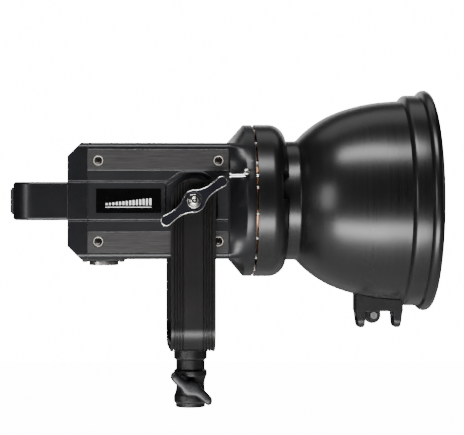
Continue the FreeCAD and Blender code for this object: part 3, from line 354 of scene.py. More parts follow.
paints = {
    "brushed": brushedPanel(brushedLook),
    "anodised": finish("blackAnodised", (0.0042, 0.0043, 0.0053, 1), 0.34, 0.15, 0.10, 1.6, roughSpread=0.05,
                       specular=0.42),
    "cap": finish("satinCap", (0.0048, 0.0049, 0.0064, 1), 0.34, 0.2, 0.12, 1.2, roughSpread=0.06,
                  specular=0.42),
    "yoke": finish("yokeBlack", (0.0050, 0.0046, 0.0044, 1), 0.36, 0.2, 0.10, 2.2, roughSpread=0.05,
                   specular=0.4),
    "edge": finish("polishedEdge", (0.06, 0.06, 0.063, 1), 0.28, 0.6, grainSize=0.8),
    "bareEdge": finish("bareEdge", (0.78, 0.77, 0.75, 1), 0.22, 1.0, grainSize=0.7, shade=0.1),
    "casting": finish("blackCasting", (0.005, 0.005, 0.0056, 1), 0.36, 0.1, 0.5, 2.6, roughSpread=0.06),
    "bell": spunBlack(),
    "silver": spunSilver(),
    "plastic": finish("blackPlastic", (0.006, 0.006, 0.0065, 1), 0.42, 0.0, 0.35, 2.8),
    "softPlastic": finish("wingPlastic", (0.0045, 0.0048, 0.0062, 1), 0.42, 0.0, 0.3, 2.0),
    "lever": finish("leverBlack", (0.0055, 0.006, 0.0095, 1), 0.30, 0.2, 0.08, 1.5),
    "gloss": finish("glossBadge", (0.0012, 0.0012, 0.0014, 1), 0.10, 0.0, grainSize=0.2, roughSpread=0.02,
                    coat=0.6),
    "rubber": finish("gripRubber", (0.007, 0.007, 0.0075, 1), 0.62, 0.0, 0.6, 2.4),
    "keys": finish("keyRubber", (0.13, 0.13, 0.14, 1), 0.6, 0.0, 0.4, 2.4),
    "glass": finish("displayGlass", (0.010, 0.014, 0.02, 1), 0.06, 0.0, grainSize=0.1, roughSpread=0.01,
                    coat=1.0),
    "chrome": finish("polishedSteel", (0.80, 0.79, 0.76, 1), 0.14, 1.0, grainSize=0.5, shade=0.06,
                     roughSpread=0.05),
    "steel": finish("turnedSteel", (0.56, 0.55, 0.53, 1), 0.30, 1.0, 0.2, 1.5, shade=0.12),
    "darkSteel": finish("darkSteel", (0.022, 0.020, 0.018, 1), 0.28, 0.7, 0.2, 1.5, shade=0.3),
    # bare metal round the screw countersinks; on the vent ribs the same pale colour is a painted highlight
    "rim": finish("bareRimAndRibHighlight", (0.78, 0.72, 0.64, 1), 0.32, 0.3, 0.2, 1.5, shade=0.15),
    "copper": finish("bareCopper", (0.80, 0.36, 0.18, 1), 0.28, 1.0, 0.1, 0.8, shade=0.2),
    "fins": finish("rolledAluminium", (0.70, 0.71, 0.73, 1), 0.34, 1.0, 0.15, 0.6, (0.2, 1, 1), 0.1),
    "fibre": finish("fibreWasher", (0.10, 0.10, 0.10, 1), 0.6, 0.0, 0.5, 2.2),
    "gold": finish("goldContact", (0.86, 0.62, 0.22, 1), 0.22, 1.0, grainSize=0.6, shade=0.1),
    "board": boardPaint(),
    "parts": finish("partSleeves", (0.03, 0.032, 0.04, 1), 0.4, 0.0, 0.2, 1.0),
    "white": finish("whiteEnamel", (0.85, 0.85, 0.83, 1), 0.45, 0.0, 0.1, 1.0, shade=0.04),
    "phosphor": emitterPaint(),
    "print": finish("whitePrint", (0.82, 0.82, 0.82, 1), 0.45, 0.0, grainSize=1.0, shade=0.05),
}
print("stage:", len(paints), "finishes")


def meshPiece(name, build, paintNames=()):
    # build fills an empty bmesh in millimetres, in the row's frame
    shape = bmesh.new()
    build(shape)
    bmesh.ops.scale(shape, vec=(mm, mm, mm), verts=shape.verts)
    mesh = bpy.data.meshes.new(name)
    shape.to_mesh(mesh)
    shape.free()
    piece = bpy.data.objects.new(name, mesh)
    bpy.context.scene.collection.objects.link(piece)
    for paintName in paintNames:
        mesh.materials.append(paints[paintName])
    return piece


def settled(piece, sharp=35):
    # the evaluated mesh replaces the piece's own, and its modifiers go
    bpy.context.view_layer.update()
    view = bpy.context.evaluated_depsgraph_get()
    mesh = bpy.data.meshes.new_from_object(piece.evaluated_get(view), depsgraph=view)
    old = piece.data
    piece.modifiers.clear()
    piece.data = mesh
    if old.users == 0:
        bpy.data.meshes.remove(old)
    if sharp is not None:
        for face in mesh.polygons:
            face.use_smooth = True
        mesh.set_sharp_from_angle(angle=math.radians(sharp))
    return piece


def stand(piece, body, slotName, *replaced):
    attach(piece, body)
    if replaced:
        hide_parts(*replaced)
    return piece


def bodyOf(node):
    return nodes[node]["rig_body"]


def eased(node, name, paintName, slotName, width, edgeName="edge", segments=2, angle=28, even=True):
    # a copy of a frame piece whose corners are rounded; the rounded strips take the edge finish
    shape = bmesh.new()
    shape.from_mesh(nodes[node].data)
    bmesh.ops.remove_doubles(shape, verts=shape.verts, dist=1.5e-6)
    bmesh.ops.dissolve_limit(shape, angle_limit=math.radians(0.4), verts=shape.verts, edges=shape.edges)
    mesh = bpy.data.meshes.new(name)
    shape.to_mesh(mesh)
    shape.free()
    mesh.materials.clear()
    mesh.materials.append(paints[paintName])
    mesh.materials.append(paints[edgeName])
    piece = bpy.data.objects.new(name, mesh)
    bpy.context.scene.collection.objects.link(piece)
    bevel = piece.modifiers.new("round", "BEVEL")
    bevel.width = width * mm
    bevel.segments = segments
    bevel.limit_method = "ANGLE"
    bevel.angle_limit = math.radians(angle)
    bevel.use_clamp_overlap = False
    bevel.material = 1
    for face in mesh.polygons:
        face.use_smooth = True
    if even:
        # large flat faces keep their own direction, and the rounded strips blend into them
        piece.modifiers.new("even", "WEIGHTED_NORMAL").weight = 50
    settled(piece, sharp=None if even else 35)
    return stand(piece, bodyOf(node), slotName, node)


def growTree(name, inputs):
    tree = bpy.data.node_groups.new(name, "GeometryNodeTree")
    face = tree.interface
    face.new_socket("Geometry", in_out="INPUT", socket_type="NodeSocketGeometry")
    for title, kind in inputs:
        face.new_socket(title, in_out="INPUT", socket_type="NodeSocket" + kind)
    face.new_socket("Geometry", in_out="OUTPUT", socket_type="NodeSocketGeometry")
    return tree, tree.nodes.new("NodeGroupInput"), tree.nodes.new("NodeGroupOutput")


def grow(tree, kind, links=None, settings=None):
    # kind is a geometry node's name without its beginning, or another node's whole name
    made = tree.nodes.new(kind if kind.startswith(("Shader", "Function")) else "GeometryNode" + kind)
    for key, value in (settings or {}).items():
        setattr(made, key, value)
    for key, value in (links or {}).items():
        if isinstance(value, bpy.types.NodeSocket):
            tree.links.new(value, made.inputs[key])
        else:
            made.inputs[key].default_value = value
    return made


def repeatTree():
    # copies of a part, each moved by Step, turned by Turn and stretched by Growth more than the last
    tree, given, result = growTree("repeatPart", [
        ("Part", "Object"), ("Count", "Int"), ("Start", "Vector"), ("Step", "Vector"),
        ("First Turn", "Vector"), ("Turn", "Vector"), ("Growth", "Vector"), ("Centre", "Vector"),
        ("Paint", "Material")])
    index = grow(tree, "InputIndex").outputs[0]

    def along(first, each):
        step = grow(tree, "ShaderNodeVectorMath", {0: each}, {"operation": "SCALE"})
        tree.links.new(index, step.inputs["Scale"])
        both = grow(tree, "ShaderNodeVectorMath", {0: first, 1: step.outputs[0]}, {"operation": "ADD"})
        return both.outputs[0]

    spots = grow(tree, "Points", {"Count": given.outputs["Count"],
                                  "Position": along(given.outputs["Start"], given.outputs["Step"])})
    part = grow(tree, "ObjectInfo", {"Object": given.outputs["Part"]}, {"transform_space": "ORIGINAL"})
    turns = grow(tree, "FunctionNodeEulerToRotation",
                 {"Euler": along(given.outputs["First Turn"], given.outputs["Turn"])})
    copies = grow(tree, "InstanceOnPoints", {
        "Points": spots.outputs[0], "Instance": part.outputs["Geometry"], "Rotation": turns.outputs[0],
        "Scale": along((1.0, 1.0, 1.0), given.outputs["Growth"])})
    moved = grow(tree, "Transform", {"Geometry": copies.outputs[0], "Translation": given.outputs["Centre"]})
    plain = grow(tree, "RealizeInstances", {"Geometry": moved.outputs[0]})
    painted = grow(tree, "SetMaterial", {"Geometry": plain.outputs[0], "Material": given.outputs["Paint"]})
    tree.links.new(painted.outputs[0], result.inputs[0])
    return tree


def scatterTree():
    # a copy of a part at each vertex, turned by the vertex's own "turn" value
    tree, given, result = growTree("scatterPart", [("Part", "Object"), ("Paint", "Material")])
    part = grow(tree, "ObjectInfo", {"Object": given.outputs["Part"]}, {"transform_space": "ORIGINAL"})
    turn = grow(tree, "InputNamedAttribute", {"Name": "turn"}, {"data_type": "FLOAT_VECTOR"})
    turns = grow(tree, "FunctionNodeEulerToRotation", {"Euler": turn.outputs[0]})
    copies = grow(tree, "InstanceOnPoints", {
        "Points": given.outputs["Geometry"], "Instance": part.outputs["Geometry"],
        "Rotation": turns.outputs[0]})
    plain = grow(tree, "RealizeInstances", {"Geometry": copies.outputs[0]})
    painted = grow(tree, "SetMaterial", {"Geometry": plain.outputs[0], "Material": given.outputs["Paint"]})
    tree.links.new(painted.outputs[0], result.inputs[0])
    return tree


def latheTree():
    # a closed profile carried round the lamp axis; faces that look inwards take the second paint
    tree, given, result = growTree("latheProfile", [
        ("Steps", "Int"), ("Centre", "Vector"), ("Lining End", "Float"), ("Paint", "Material"),
        ("Lining", "Material")])
    path = grow(tree, "CurvePrimitiveCircle", {"Resolution": given.outputs["Steps"], "Radius": 1.0})
    outline = grow(tree, "MeshToCurve", {"Mesh": given.outputs["Geometry"]})
    skin = grow(tree, "CurveToMesh", {"Curve": path.outputs[0], "Profile Curve": outline.outputs[0]})
    upright = grow(tree, "Transform", {"Geometry": skin.outputs[0], "Rotation": (0, math.radians(-90), 0),
                                       "Translation": given.outputs["Centre"]})
    painted = grow(tree, "SetMaterial", {"Geometry": upright.outputs[0], "Material": given.outputs["Paint"]})
    spot = grow(tree, "InputPosition")
    out = grow(tree, "ShaderNodeVectorMath", {0: spot.outputs[0], 1: given.outputs["Centre"]},
               {"operation": "SUBTRACT"})
    flat = grow(tree, "ShaderNodeVectorMath", {0: out.outputs[0], 1: (0, 1, 1)}, {"operation": "MULTIPLY"})
    facing = grow(tree, "ShaderNodeVectorMath", {0: grow(tree, "InputNormal").outputs[0], 1: flat.outputs[0]},
                  {"operation": "DOT_PRODUCT"})
    inward = grow(tree, "ShaderNodeMath", {0: facing.outputs["Value"], 1: -0.005}, {"operation": "LESS_THAN"})
    apart = grow(tree, "ShaderNodeSeparateXYZ", {0: spot.outputs[0]})
    behind = grow(tree, "ShaderNodeMath", {0: apart.outputs[0], 1: given.outputs["Lining End"]},
                  {"operation": "LESS_THAN"})
    lined = grow(tree, "ShaderNodeMath", {0: inward.outputs[0], 1: behind.outputs[0]},
                 {"operation": "MULTIPLY"})
    plain = grow(tree, "RealizeInstances", {"Geometry": painted.outputs[0]})
    both = grow(tree, "SetMaterial", {"Geometry": plain.outputs[0], "Selection": lined.outputs[0],
                                      "Material": given.outputs["Lining"]})
    tree.links.new(both.outputs[0], result.inputs[0])
    return tree


trees = {"repeat": repeatTree(), "scatter": scatterTree(), "lathe": latheTree()}


def grown(piece, treeName, values, sharp=35):
    tree = trees[treeName]
    modifier = piece.modifiers.new("grow", "NODES")
    modifier.node_group = tree
    names = {item.name: item.identifier for item in tree.interface.items_tree
             if item.item_type == "SOCKET" and item.in_out == "INPUT"}
    for title, value in values.items():
        modifier[names[title]] = value
    piece.update_tag()
    return settled(piece, sharp)


def spare(piece):
    # a part that was only there to be copied
    mesh = piece.data
    bpy.data.objects.remove(piece)
    if mesh.users == 0:
        bpy.data.meshes.remove(mesh)


def repeated(name, part, paintName, count, start=(0, 0, 0), step=(0, 0, 0), firstTurn=(0, 0, 0),
             turn=(0, 0, 0), growth=(0, 0, 0), centre=(0, 0, 0)):
    # lengths in millimetres and turns in degrees
    holder = bpy.data.objects.new(name, bpy.data.meshes.new(name))
    bpy.context.scene.collection.objects.link(holder)
    grown(holder, "repeat", {
        "Part": part, "Count": count, "Start": [mm * v for v in start], "Step": [mm * v for v in step],
        "First Turn": [math.radians(v) for v in firstTurn], "Turn": [math.radians(v) for v in turn],
        "Growth": list(growth), "Centre": [mm * v for v in centre], "Paint": paints[paintName]})
    spare(part)
    return holder


def joined(first, *others):
    # the others' meshes become part of the first
    shape = bmesh.new()
    slots = list(first.data.materials)
    shape.from_mesh(first.data)
    for other in others:
        before = len(shape.faces)
        shape.from_mesh(other.data)
        shape.faces.ensure_lookup_table()
        for face in shape.faces[before:]:
            paint = other.data.materials[face.material_index] if other.data.materials else None
            if paint not in slots:
                slots.append(paint)
            face.material_index = slots.index(paint)
    shape.to_mesh(first.data)
    shape.free()
    first.data.materials.clear()
    for paint in slots:
        first.data.materials.append(paint)
    for other in others:
        spare(other)
    first.data.set_sharp_from_angle(angle=math.radians(35))
    return first


bell = {
    "steps": 160, "sheet": 1.5, "beadSteps": 18, "beadRadius": 5.0, "beadCurl": 150, "curveSteps": 12,
    "neckLength": 19.2, "stepBack": 25.0,       # from the rear, and back from the front
    "neckIn": 42.39, "mouthIn": 8.79, "bandIn": 4.19,       # in from the rim
    "insideBack": 4.6, "liningBack": 3.0,       # back from the middle of the bead
    # the bell's side, as shares of its length and of its rise from neck to mouth
    "curve": [(0, 0.018), (0.089, 0.241), (0.207, 0.467), (0.353, 0.667), (0.548, 0.836), (0.765, 0.949),
              (1, 1)],
}


def bellPoints(look):
    # the outside from neck to rim as points of (along X, radius), sized from the frame's own bell
    low, high = (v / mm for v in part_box("reflector_shell"))
    rear, front, rim = low.x, high.x, high.y
    neck = rear + look["neckLength"]
    radius = {"neck": rim - look["neckIn"], "mouth": rim - look["mouthIn"], "band": rim - look["bandIn"]}
    step = front - look["stepBack"]
    curve = look["curve"]
    smooth = []
    for i in range(len(curve) - 1):
        for k in range(look["curveSteps"]):
            t = k / look["curveSteps"]
            before = curve[max(i - 1, 0)]
            after = curve[min(i + 2, len(curve) - 1)]
            point = []
            for axis in (0, 1):
                a, b, c, d = before[axis], curve[i][axis], curve[i + 1][axis], after[axis]
                bend = 2 * a - 5 * b + 4 * c - d + t * (3 * (b - c) + d - a)
                point.append(b + 0.5 * t * (c - a + t * bend))
            smooth.append(point)
    outside = [(rear, radius["neck"]), (neck - 1.8, radius["neck"])]
    for along, out in smooth:
        rise = radius["mouth"] - radius["neck"]
        outside.append((neck + along * (step - neck), radius["neck"] + out * rise))
    # the step and the straight band in front of it
    mouth, band = radius["mouth"], radius["band"]
    outside += [(step, mouth), (step + 0.5, mouth + 0.9), (step + 1.3, mouth + 2.4),
                (step + 2.0, band - 1.3), (step + 3.2, band - 0.35), (step + 5.0, band)]
    beadX, beadR = front - look["beadRadius"], rim - look["beadRadius"]
    start = math.atan2(band - beadR, -math.sqrt(look["beadRadius"] ** 2 - (band - beadR) ** 2))
    bead = []
    for k in range(look["beadSteps"] + 1):
        a = start - (start + math.radians(look["beadCurl"])) * k / look["beadSteps"]
        bead.append((beadX + look["beadRadius"] * math.cos(a), beadR + look["beadRadius"] * math.sin(a)))
    return outside, bead, beadX


def makeBell(look):
    # a sheet of even thickness: the outside, the rolled bead, then back along the inside
    outside, bead, beadX = bellPoints(look)
    inside = [(x, r - look["sheet"]) for x, r in outside]
    inside = [(x, r) for x, r in inside if x < beadX - look["insideBack"]]
    points = outside + bead + inside[::-1]

    def build(shape):
        # the profile's own X is the radius less the path's, and its Y runs along the lamp
        made = [shape.verts.new((r - 1000.0, x, 0)) for x, r in points]
        for a, b in zip(made, made[1:] + made[:1]):
            shape.edges.new((a, b))

    piece = meshPiece("bellReflector", build)
    return piece, beadX


def addBell(look):
    piece, beadX = makeBell(look)
    liningEnd = mm * (beadX - look["liningBack"])
    grown(piece, "lathe", {"Steps": look["steps"], "Centre": list(tiltAxis), "Lining End": liningEnd,
                           "Paint": paints["bell"], "Lining": paints["silver"]}, sharp=50)
    stand(piece, "reflector", "black_spun_aluminium", "reflector_shell")


addBell(bell)
print("stage: bell")


housing = {
    # frame piece: the visible piece, its finish, its slot and the width of its rounded corners
    "side_panel_right": ("sidePanelRight", "brushed", "black_anodised", 0.22),
    "side_panel_left": ("sidePanelLeft", "brushed", "black_anodised", 0.22),
    "top_cover": ("topCover", "anodised", "black_anodised", 0.2),
    "bottom_cover": ("bottomCover", "anodised", "black_anodised", 0.2),
    "rear_cap": ("rearCap", "cap", "black_anodised", 0.28),
    "front_shell": ("frontShell", "anodised", "black_anodised", 0.3),
    "bayonet_ring": ("bayonetRing", "bell", "black_anodised", 0.25),
    "yoke": ("yoke", "yoke", "black_anodised", 0.3),
    "rear_handle": ("rearHandle", "anodised", "black_anodised", 0.3),
    "stand_socket": ("standSocket", "casting", "black_casting", 0.25),
    "socket_collar": ("socketCollar", "casting", "black_casting", 0.25),
    "umbrella_bracket": ("umbrellaBracket", "casting", "black_casting", 0.4),
    "reflector_flange": ("reflectorFlange", "silver", "black_casting", 0.2),
    "inlet_plate": ("inletPlate", "plastic", "black_plastic", 0.2),
    "inlet_shell": ("inletShell", "steel", "polished_steel", 0.2),
    "pivot_bolt": ("pivotBolt", "steel", "plain_steel", 0.15),
    "tilt_screw": ("tiltScrew", "chrome", "polished_steel", 0.12),
    "release_rod": ("releaseRod", "chrome", "polished_steel", 0.12),
    "release_knob": ("releaseKnob", "chrome", "polished_steel", 0.12),
    "control_panel": ("controlPanel", "plastic", "black_plastic", 0.2),
    "switch_frame": ("switchFrame", "plastic", "black_plastic", 0.2),
    "power_rocker": ("powerRocker", "keys", "black_plastic", 0.25),
    "mode_button": ("modeButton", "keys", "grey_rubber", 0.2),
    "channel_button": ("channelButton", "keys", "grey_rubber", 0.2),
    "effect_button": ("effectButton", "keys", "grey_rubber", 0.2),
}
edgeFinish = {
    "inlet_shell": "steel", "pivot_bolt": "steel", "tilt_screw": "chrome", "release_rod": "chrome",
    "release_knob": "chrome", "control_panel": "plastic", "switch_frame": "plastic", "power_rocker": "keys",
    "mode_button": "keys", "channel_button": "keys", "effect_button": "keys", "inlet_plate": "plastic",
    "reflector_flange": "silver", "stand_socket": "casting", "socket_collar": "casting",
    "umbrella_bracket": "casting", "bayonet_ring": "bell", "front_shell": "anodised",
    "rear_handle": "anodised", "yoke": "yoke",
}
for nodeName, (pieceName, paintName, slotName, width) in housing.items():
    eased(nodeName, pieceName, paintName, slotName, width, edgeFinish.get(nodeName, "edge"),
          even=nodeName != "front_shell")


leverLook = {"bevel": 0.32, "hub": 8.6}


def addLever(look):
    # only the rim that runs round the lever's outline is bare metal, and the pocket for the screw is black
    lever = eased("tilt_lever", "tiltLever", "lever", "black_plastic", look["bevel"], "bareEdge", angle=40)
    for face in lever.data.polygons:
        away = math.hypot(face.center.x, face.center.z - tiltAxis.z) / mm
        if away < look["hub"]:
            face.material_index = 0


addLever(leverLook)
print("stage: housing")


# small shapes that others are built from
def addBlock(shape, low, high, corner=0.0, segments=2):
    made = bmesh.ops.create_cube(shape, size=1.0)["verts"]
    size = [b - a for a, b in zip(low, high)]
    bmesh.ops.scale(shape, vec=size, verts=made)
    bmesh.ops.translate(shape, vec=[(a + b) / 2 for a, b in zip(low, high)], verts=made)
    if corner:
        edges = list(dict.fromkeys(e for v in made for e in v.link_edges))
        bmesh.ops.bevel(shape, geom=edges, offset=corner, segments=segments, profile=0.5, affect="EDGES")


def addTurned(shape, profile, steps, closed=True):
    # profile holds (along X, radius) outwards first; its ends meet on the axis when closed is False
    rings = []
    for x, r in profile:
        if r < 1e-6:
            rings.append([shape.verts.new((x, 0, 0))])
            continue
        ring = []
        for i in range(steps):
            a = 2 * math.pi * i / steps
            ring.append(shape.verts.new((x, r * math.cos(a), r * math.sin(a))))
        rings.append(ring)
    pairs = list(zip(rings, rings[1:])) + ([(rings[-1], rings[0])] if closed else [])
    for first, second in pairs:
        for i in range(steps):
            j = (i + 1) % steps
            a, b = first[i % len(first)], first[j % len(first)]
            c, d = second[j % len(second)], second[i % len(second)]
            corners = []
            for v in (a, b, c, d):
                if v not in corners:
                    corners.append(v)
            if len(corners) > 2:
                shape.faces.new(corners)
    bmesh.ops.recalc_face_normals(shape, faces=shape.faces)


def smoothPiece(piece, levels, sharp=60):
    rounder = piece.modifiers.new("rounder", "SUBSURF")
    rounder.levels = levels
    rounder.render_levels = levels
    return settled(piece, sharp)


def spots(name, places, turned, part, paintName, sharp=35):
    # a copy of part at each place, each with its own turn in degrees
    holder = meshPiece(name, lambda shape: [shape.verts.new(place) for place in places])
    turns = holder.data.attributes.new("turn", "FLOAT_VECTOR", "POINT")
    for i in range(len(places)):
        turns.data[i].vector = [math.radians(t) for t in turned[i]]
    grown(holder, "scatter", {"Part": part, "Paint": paints[paintName]}, sharp)
    return holder


axisZ = tiltAxis.z / mm


sideScrew = {"radius": 3.0, "rim": 3.8, "rimWide": 0.4, "dome": 0.5, "sink": 0.25,
             "crossLong": 2.4, "crossWide": 0.55, "inFromEnds": (8.6, 8.1), "inFromTop": 14.5, "steps": 36}


def screwHead(shape, look):
    # a pan head facing -X, whose cross stands a little proud
    r, dome = look["radius"], look["dome"]
    addTurned(shape, [(0.9, 0), (0.9, r), (0.1, r), (-0.15, r - 0.35), (-dome + 0.1, r * 0.55),
                      (-dome, r * 0.35), (0.35, 0.25), (0.35, 0)], look["steps"], closed=False)
    for long, wide in ((look["crossLong"], look["crossWide"]), (look["crossWide"], look["crossLong"])):
        addBlock(shape, (-dome - 0.06, -long / 2, -wide / 2), (0.3, long / 2, wide / 2), 0.05, 1)


def screwRim(shape, look):
    # the countersink's bare edge round each screw
    outer, inner = look["rim"], look["rim"] - look["rimWide"]
    addTurned(shape, [(-0.06, outer), (-0.10, (outer + inner) / 2), (-0.02, inner), (0.8, inner - 0.1),
                      (0.9, inner), (0.2, outer)], look["steps"])


def addSideScrews(look):
    low, high = (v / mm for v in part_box("side_panel_right"))
    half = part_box("side_panel_left")[1].y / mm
    places, turns = [], []
    for side in (-1, 1):
        for x in (low.x + look["inFromEnds"][0], high.x - look["inFromEnds"][1]):
            for up in (-1, 1):
                places.append((x, side * (half - look["sink"]), axisZ + up * (half - look["inFromTop"])))
                turns.append((0, 0, 90 if side < 0 else -90))
    for name, build, paintName in (("sideScrewHeads", screwHead, "darkSteel"),
                                   ("sideScrewRims", screwRim, "rim")):
        part = meshPiece(name + "Part", lambda shape, build=build: build(shape, look))
        piece = spots(name, places, turns, part, paintName)
        spare(part)
        stand(piece, "lamp_head", "plain_steel", *(["side_screws"] if build is screwHead else []))


addSideScrews(sideScrew)


vent = {"ribs": 18, "rib": (2.0, 1.3, 6.5), "outer": 61.3, "plate": (0.6, 51.0, 61.6), "first": 30.5}


def addVents(look):
    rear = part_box("vent_ring")[0].x / mm
    long, wide, deep = look["rib"]
    rib = meshPiece("ventRib", lambda shape: addBlock(
        shape, (rear, -look["outer"], -wide / 2), (rear + long, -look["outer"] + deep, wide / 2), 0.25))
    # the ribs belong to the black anodised vent ring but take the pale rim colour, a painted highlight for
    # the light they catch
    ribs = repeated("ventRibs", rib, "rim", look["ribs"], firstTurn=(-look["first"], 0, 0),
                    turn=(-360 / look["ribs"], 0, 0), centre=(0, 0, axisZ))
    stand(ribs, "lamp_head", "black_anodised", "vent_ring")
    thick, inner, outer = look["plate"]

    def plate(shape):
        addTurned(shape, [(rear, outer), (rear + thick, outer), (rear + thick, inner), (rear, inner)], 96)
        bmesh.ops.translate(shape, vec=(0, 0, axisZ), verts=shape.verts)
    backing = meshPiece("ventPlate", plate, ["anodised"])
    stand(settled(backing), "lamp_head", "black_anodised")


addVents(vent)

fin = {"count": 15, "pitch": 2.7, "thick": 0.8, "half": 34.5, "round": 0.25}


def addFins(look):
    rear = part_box("heat_fins")[0].x / mm
    half = look["half"]
    plate = meshPiece("finPlate", lambda shape: addBlock(
        shape, (rear, -half, -half), (rear + look["thick"], half, half), look["round"]))
    fins = repeated("heatFins", plate, "fins", look["count"], step=(look["pitch"], 0, 0),
                    centre=(0, 0, axisZ))
    stand(fins, "lamp_head", "bare_aluminium", "heat_fins")


addFins(fin)

grip = {"ribs": 13, "rib": (0.9, 1.5, 19.0), "endGap": 4.5, "round": 0.4, "bodyRound": 1.2}


def addGrip(look):
    low, high = (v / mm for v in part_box("handle_grip"))
    deep, wide, tall = look["rib"]
    pitch = (high.y - low.y - 2 * look["endGap"]) / (look["ribs"] - 1)
    rib = meshPiece("gripRib", lambda shape: addBlock(
        shape, (low.x, -wide / 2, -tall / 2), (low.x + deep + 0.6, wide / 2, tall / 2), look["round"]))
    ribs = repeated("gripRibs", rib, "rubber", look["ribs"], start=(0, low.y + look["endGap"], 0),
                    step=(0, pitch, 0), centre=(0, 0, axisZ))

    def body(shape):
        addBlock(shape, (low.x + deep, low.y, low.z), (high.x, high.y, high.z), look["bodyRound"], 3)
    pad = settled(meshPiece("handleGrip", body, ["rubber"]))
    stand(joined(pad, ribs), "lamp_head", "grip_rubber", "handle_grip")


addGrip(grip)
print("stage: screws, vents, fins and grip")


knob = {"ridges": 30, "ridgeWide": 0.75, "ridgeHigh": 0.45, "edge": 0.9, "dialLong": 8.0, "bore": 3.0,
        "steps": 64}


def addKnob(look, name, node, axis, paintName, slotName):
    # a turned cap with ridges round it and, on the dials, a pointer line
    # it is drawn along X, then turned to its axis
    low, high = (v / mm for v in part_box(node))
    if axis == "x":
        radius, long, front = (high.y - low.y) / 2, look["dialLong"], low.x
        centre, turn = Vector((front, (low.y + high.y) / 2, (low.z + high.z) / 2)), 0
    else:
        radius, long = (high.x - low.x) / 2, high.y - low.y
        centre, turn = Vector(((low.x + high.x) / 2, high.y, (low.z + high.z) / 2)), -90
    core = radius - look["ridgeHigh"]
    edge = look["edge"]
    inner = look["bore"] if axis == "y" else 0.0

    def cap(shape):
        profile = [(0.35, inner), (0.35, core - 2.2), (0.0, core - 1.8), (0.0, core - edge),
                   (edge * 0.3, core - edge * 0.3), (edge, core), (long, core), (long, inner)]
        addTurned(shape, profile, look["steps"], closed=bool(inner))
    piece = settled(meshPiece(name, cap, [paintName]))
    ridge = meshPiece("ridge", lambda shape: addBlock(
        shape, (edge + 0.2, core - 0.4, -look["ridgeWide"] / 2),
        (long - 0.3, radius, look["ridgeWide"] / 2), 0.2, 1))
    ridges = repeated("ridges", ridge, paintName, look["ridges"], turn=(360 / look["ridges"], 0, 0))
    parts = [ridges]
    if axis == "x":
        line = meshPiece("line", lambda shape: addBlock(
            shape, (-0.06, -0.35, core * 0.35), (0.3, 0.35, core - edge), 0.03, 1), ["print"])
        parts.append(settled(line))
    joined(piece, *parts)
    piece.data.transform(Matrix.Translation(centre * mm) @ Matrix.Rotation(math.radians(turn), 4, "Z"))
    return stand(piece, bodyOf(node), slotName, node)


addKnob(knob, "brightnessKnob", "brightness_knob", "x", "plastic", "black_plastic")
addKnob(knob, "colourKnob", "colour_knob", "x", "plastic", "black_plastic")
addKnob(knob, "umbrellaKnob", "umbrella_knob", "y", "plastic", "black_plastic")

dialTicks = {"count": 11, "from": -135, "to": 135, "inner": 7.9, "outer": 9.0, "wide": 0.35, "high": 0.05}


def addDialTicks(look):
    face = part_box("control_panel")[0].x / mm
    step = (look["to"] - look["from"]) / (look["count"] - 1)
    rings = []
    for node in ("brightness_knob", "colour_knob"):
        low, high = (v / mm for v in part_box(node))
        tick = meshPiece("tick", lambda shape: addBlock(
            shape, (face - look["high"], -look["wide"] / 2, look["inner"]),
            (face + look["high"], look["wide"] / 2, look["outer"])))
        rings.append(repeated("ticks" + node, tick, "print", look["count"], firstTurn=(look["from"], 0, 0),
                              turn=(step, 0, 0), centre=(0, (low.y + high.y) / 2, axisZ)))
    rings[0].name = "dialTicks"
    stand(joined(rings[0], rings[1]), "lamp_head", "black_plastic")


addDialTicks(dialTicks)


# the badge carries a plain rising bar scale
badge = {"bars": 14, "barWide": 1.5, "barTall": 1.5, "pitch": 2.7, "growth": 0.20, "high": 0.06,
         "barsDrop": 3.2, "lineDrop": 5.2, "lineTall": 0.5, "lineOver": 0.8}


def addBadgeMarks(look):
    low, high = (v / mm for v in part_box("badge_plates"))
    left = (low.x + high.x) / 2 - look["pitch"] * (look["bars"] - 1) / 2
    marks = []
    for face, tag in ((low.y, "Right"), (high.y, "Left")):
        bar = meshPiece("bar", lambda shape, face=face: addBlock(
            shape, (-look["barWide"] / 2, face - look["high"], 0),
            (look["barWide"] / 2, face + look["high"], look["barTall"])))
        bars = repeated("badgeBars" + tag, bar, "print", look["bars"], start=(left, 0, 0),
                        step=(look["pitch"], 0, 0), growth=(0, 0, look["growth"]),
                        centre=(0, 0, axisZ - look["barsDrop"]))

        def line(shape, face=face):
            over, foot = look["lineOver"], axisZ - look["lineDrop"]
            addBlock(shape, (left - over, face - look["high"], foot),
                     (-left + low.x + high.x + over, face + look["high"], foot + look["lineTall"]))
        marks += [bars, settled(meshPiece("badgeLine" + tag, line, ["print"]))]
    marks[0].name = "badgeMarks"
    stand(joined(*marks), "lamp_head", "gloss_badge")


addBadgeMarks(badge)
print("stage: knobs and marks")


# the wing that locks the stand socket
wing = {"reach": 17.0, "bulb": 3.7, "hub": 7.4, "hubSpread": 8.6, "waist": 4.0, "thick": 2.6,
        "bulbThick": 3.2, "bulbSpread": 4.4, "angle": -38, "sway": 1.5, "squareness": 0.75, "outwards": 0.3,
        "stations": 29, "around": 20}


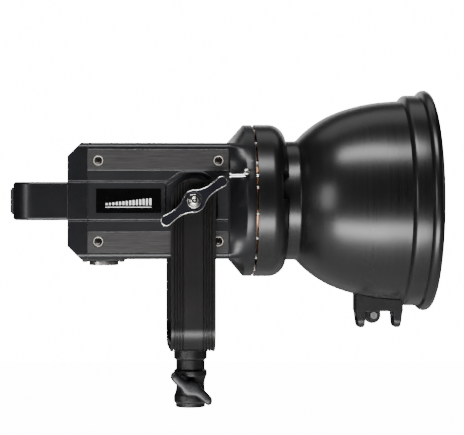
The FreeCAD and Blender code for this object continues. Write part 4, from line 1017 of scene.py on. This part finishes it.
def addWing(look):
    low, high = (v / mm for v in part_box("lock_wing"))
    middle = Vector((0, (low.y + high.y) / 2 - look["outwards"], (low.z + high.z) / 2))

    def build(shape):
        rings = []
        reach, bulb = look["reach"], look["bulb"]
        count = look["stations"]
        for i in range(count):
            # stations crowd towards the ends, where the bulbs close
            u = -math.cos(math.pi * i / (count - 1)) * (reach + bulb)
            away = abs(u)
            hub = look["hub"] * math.exp(-(away / look["hubSpread"]) ** 2)
            tip = math.sqrt(max(bulb ** 2 - max(away - reach, 0) ** 2, 0.0))
            swell = math.exp(-((away - reach) / look["bulbSpread"]) ** 2)
            half = max(hub, look["waist"] * (1 - swell) + bulb * swell) if away < reach else tip
            thick = look["thick"] + (look["bulbThick"] - look["thick"]) * swell
            thick *= half / bulb if away >= reach else 1
            sway = look["sway"] * math.sin(math.pi * u / (reach + bulb))
            ring = []
            for k in range(look["around"]):
                a = 2 * math.pi * k / look["around"]
                # a squarish oval
                c, t = (math.copysign(abs(v) ** look["squareness"], v) for v in (math.cos(a), math.sin(a)))
                ring.append(shape.verts.new((u, thick * t, sway + max(half, 0.05) * c)))
            rings.append(ring)
        for first, second in zip(rings, rings[1:]):
            for k in range(look["around"]):
                j = (k + 1) % look["around"]
                shape.faces.new((first[k], first[j], second[j], second[k]))
        shape.faces.new(rings[0])
        shape.faces.new(rings[-1][::-1])
        bmesh.ops.recalc_face_normals(shape, faces=shape.faces)
        turn = Matrix.Rotation(math.radians(-look["angle"]), 4, "Y")
        bmesh.ops.transform(shape, matrix=Matrix.Translation(middle) @ turn, verts=shape.verts)
    piece = smoothPiece(meshPiece("lockWing", build, ["softPlastic"]), 1)
    stand(piece, "stand_lock", "black_plastic", "lock_wing")


addWing(wing)
print("stage: lock wing")


# pieces that keep the frame's own shape
kept = {
    "socket_bolt": "steel", "lock_screw": "steel", "chassis": "anodised", "badge_plates": "gloss",
    "handle_screws": "darkSteel", "display_window": "glass", "board_parts": "parts", "control_board": "board",
    "heat_spreader": "copper", "heat_pipes": "copper", "lamp_plate": "white", "led_board": "fins",
    "led_emitter": "phosphor", "led_clamp": "plastic", "fan_frame": "plastic", "fan_rotor": "plastic",
    "driver_board": "board", "driver_parts": "parts", "inlet_core": "plastic", "inlet_pins": "gold",
    "inlet_screws": "darkSteel", "pivot_discs": "fibre", "flange_rivets": "steel", "bracket_screws": "steel",
    "umbrella_screw": "steel",
}
for nodeName, paintName in kept.items():
    nodes[nodeName].data.materials.clear()
    nodes[nodeName].data.materials.append(paints[paintName])
print("stage: frame pieces painted")
